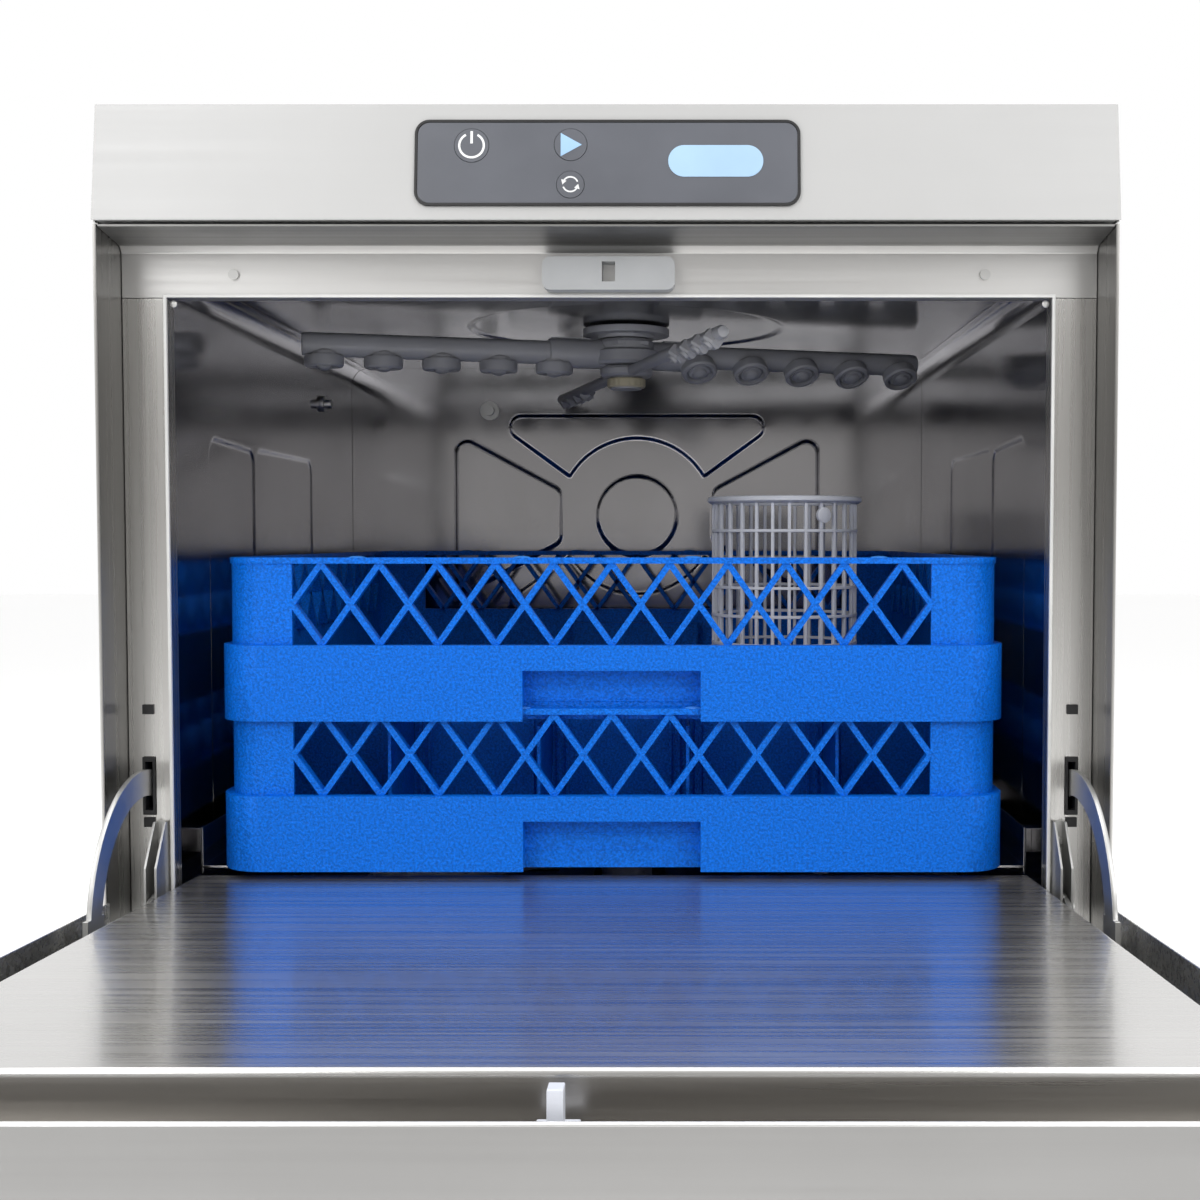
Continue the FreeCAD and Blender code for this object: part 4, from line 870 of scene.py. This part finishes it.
# ---------------------------------------------------------------- CAD nodes that keep their shape
NODE_LOOKS = {
    "steel_x": ["top_cover", "lower_front_panel", "front_sill", "door_outer_skin", "base_tray",
                "rear_panel"],
    "steel_header": ["header_panel"],
    "steel_fascia": ["control_fascia"],
    "steel_z": ["door_jambs"],
    "steel_side": ["side_panels"],
    "steel_dull": ["door_arms", "door_hinge_lugs", "hinge_brackets", "hinge_pins", "panel_screws",
                   "chamber_nozzles", "tank_heater", "booster_boiler", "tank_strainers"],
    "steel_chamber": ["wash_tank", "rack_rails"],
    "grey": ["upper_spindle", "lower_spindle", "overflow_standpipe", "drain_spigot"],
    "striker": ["latch_striker"],
    "basket": ["door_catch"],
    "black": ["overlay_bezel", "arm_guides", "cable_gland", "door_switch", "wash_pump", "drain_pump",
              "dosing_pumps", "wash_pipes", "feet"],
    "overlay": ["control_overlay", "power_button", "start_button", "cycle_button"],
    "label": ["label_plate"],
    "blue": ["lower_rack", "upper_rack", "glass_dividers"],
    "seal": ["opening_seal"],
    "board": ["control_board"],
    "brass": ["fill_valve"],
}
EDGE = {"steel_x": 0.35, "steel_header": 0.35, "steel_z": 0.35, "steel_side": 0.35,
        "steel_fascia": 0.35, "steel_dull": 0.25,
        "striker": 1.0, "basket": 0.6, "black": 0.25, "overlay": 0, "label": 0.15, "blue": 0.45,
        "seal": 0.5, "grey": 0.4, "board": 0.2, "brass": 0.4, "steel_chamber": 0.3}


def dress_nodes():
    for look, names in NODE_LOOKS.items():
        for name in names:
            piece = NODES.get(name)
            if piece is None:
                continue
            piece.data.materials.clear()
            piece.data.materials.append(LOOKS[look])
            if EDGE[look]:
                soften(piece, EDGE[look] * MM, weld=True)


# ---------------------------------------------------------------- stage, light and camera
def make_stage():
    floor = bpy.data.meshes.new("floor")
    half = 14.0
    corners = [(-half, -half, 0), (half, -half, 0), (half, half, 0), (-half, half, 0)]
    floor.from_pydata(corners, [], [(0, 1, 2, 3)])
    piece = bpy.data.objects.new("floor", floor)
    bpy.context.scene.collection.objects.link(piece)
    look = Look("floor_pale", (0.93, 0.93, 0.93), 0.7, Emission_Color=(1, 1, 1, 1), Emission_Strength=0.14)
    look.vary_color(look.noise(0.7), 0.99, 1.01)
    floor.materials.append(look.mat)


def area(name, spot, aim, size, power, color=(1, 1, 1)):
    data = bpy.data.lights.new(name, "AREA")
    data.shape = "RECTANGLE"
    data.size, data.size_y = size
    data.energy = power
    data.color = color
    lamp = bpy.data.objects.new(name, data)
    lamp.location = spot
    lamp.rotation_mode = "QUATERNION"
    lamp.rotation_quaternion = (Vector(aim) - Vector(spot)).to_track_quat("-Z", "Y")
    bpy.context.scene.collection.objects.link(lamp)


def make_light():
    """A white room that is darker behind the viewer, with a large soft box above each shoulder."""
    world = bpy.data.worlds.new("studio")
    bpy.context.scene.world = world
    world.use_nodes = True
    nodes, links = world.node_tree.nodes, world.node_tree.links
    back = nodes["Background"]
    where = nodes.new("ShaderNodeTexCoord")
    split = nodes.new("ShaderNodeSeparateXYZ")
    ramp = nodes.new("ShaderNodeValToRGB")
    shift = nodes.new("ShaderNodeMapRange")
    shift.inputs["From Min"].default_value = -1.0
    shift.inputs["From Max"].default_value = 1.0
    ramp.color_ramp.elements[0].position = 0.0
    ramp.color_ramp.elements[0].color = (0.42, 0.41, 0.40, 1)
    ramp.color_ramp.elements[1].position = 0.5
    ramp.color_ramp.elements[1].color = (1, 1, 1, 1)
    links.new(where.outputs["Generated"], split.inputs["Vector"])
    links.new(split.outputs["Y"], shift.inputs["Value"])
    links.new(shift.outputs["Result"], ramp.inputs["Fac"])
    links.new(ramp.outputs["Color"], back.inputs["Color"])
    back.inputs["Strength"].default_value = 1.0
    area("key_left", (-1.5, -2.1, 2.0), (0, 0, 0.5), (1.6, 1.6), 30)
    area("fill_right", (1.5, -2.1, 2.0), (0, 0, 0.5), (1.6, 1.6), 26)
    area("top_soft", (0, 0.1, 2.6), (0, 0, 0.8), (2.4, 2.4), 40)


IMAGE_SIDE = 1200.0
SENSOR = 36.0
CAMERA_PIXELS = 1500.0
CAMERA_SPOT = (44.9, -883.7, 215.5)
CAMERA_DROP = 0.0412
CAMERA_SIDE = 83.0 / IMAGE_SIDE


def make_camera():
    """Level across and a little right of centre, aimed slightly down from the height of the upper rack."""
    data = bpy.data.cameras.new("view")
    data.sensor_width = SENSOR
    data.lens = SENSOR * CAMERA_PIXELS / IMAGE_SIDE
    camera = bpy.data.objects.new("view", data)
    camera.location = place(*CAMERA_SPOT)
    camera.rotation_euler = (math.pi / 2 - CAMERA_DROP, 0, 0)
    data.shift_x = -CAMERA_SIDE
    data.clip_start, data.clip_end = 0.01, 60
    bpy.context.scene.collection.objects.link(camera)
    bpy.context.scene.camera = camera


def use_plain_view():
    """Colours as the lights give them, with no film curve."""
    bpy.context.scene.view_settings.view_transform = "Standard"


dress_nodes()
make_chamber()
make_sprays()
make_basket()
make_rack_details()
make_door_skins()
make_icons()
make_fixings()
make_springs()
make_stage()
make_light()
make_camera()
use_plain_view()
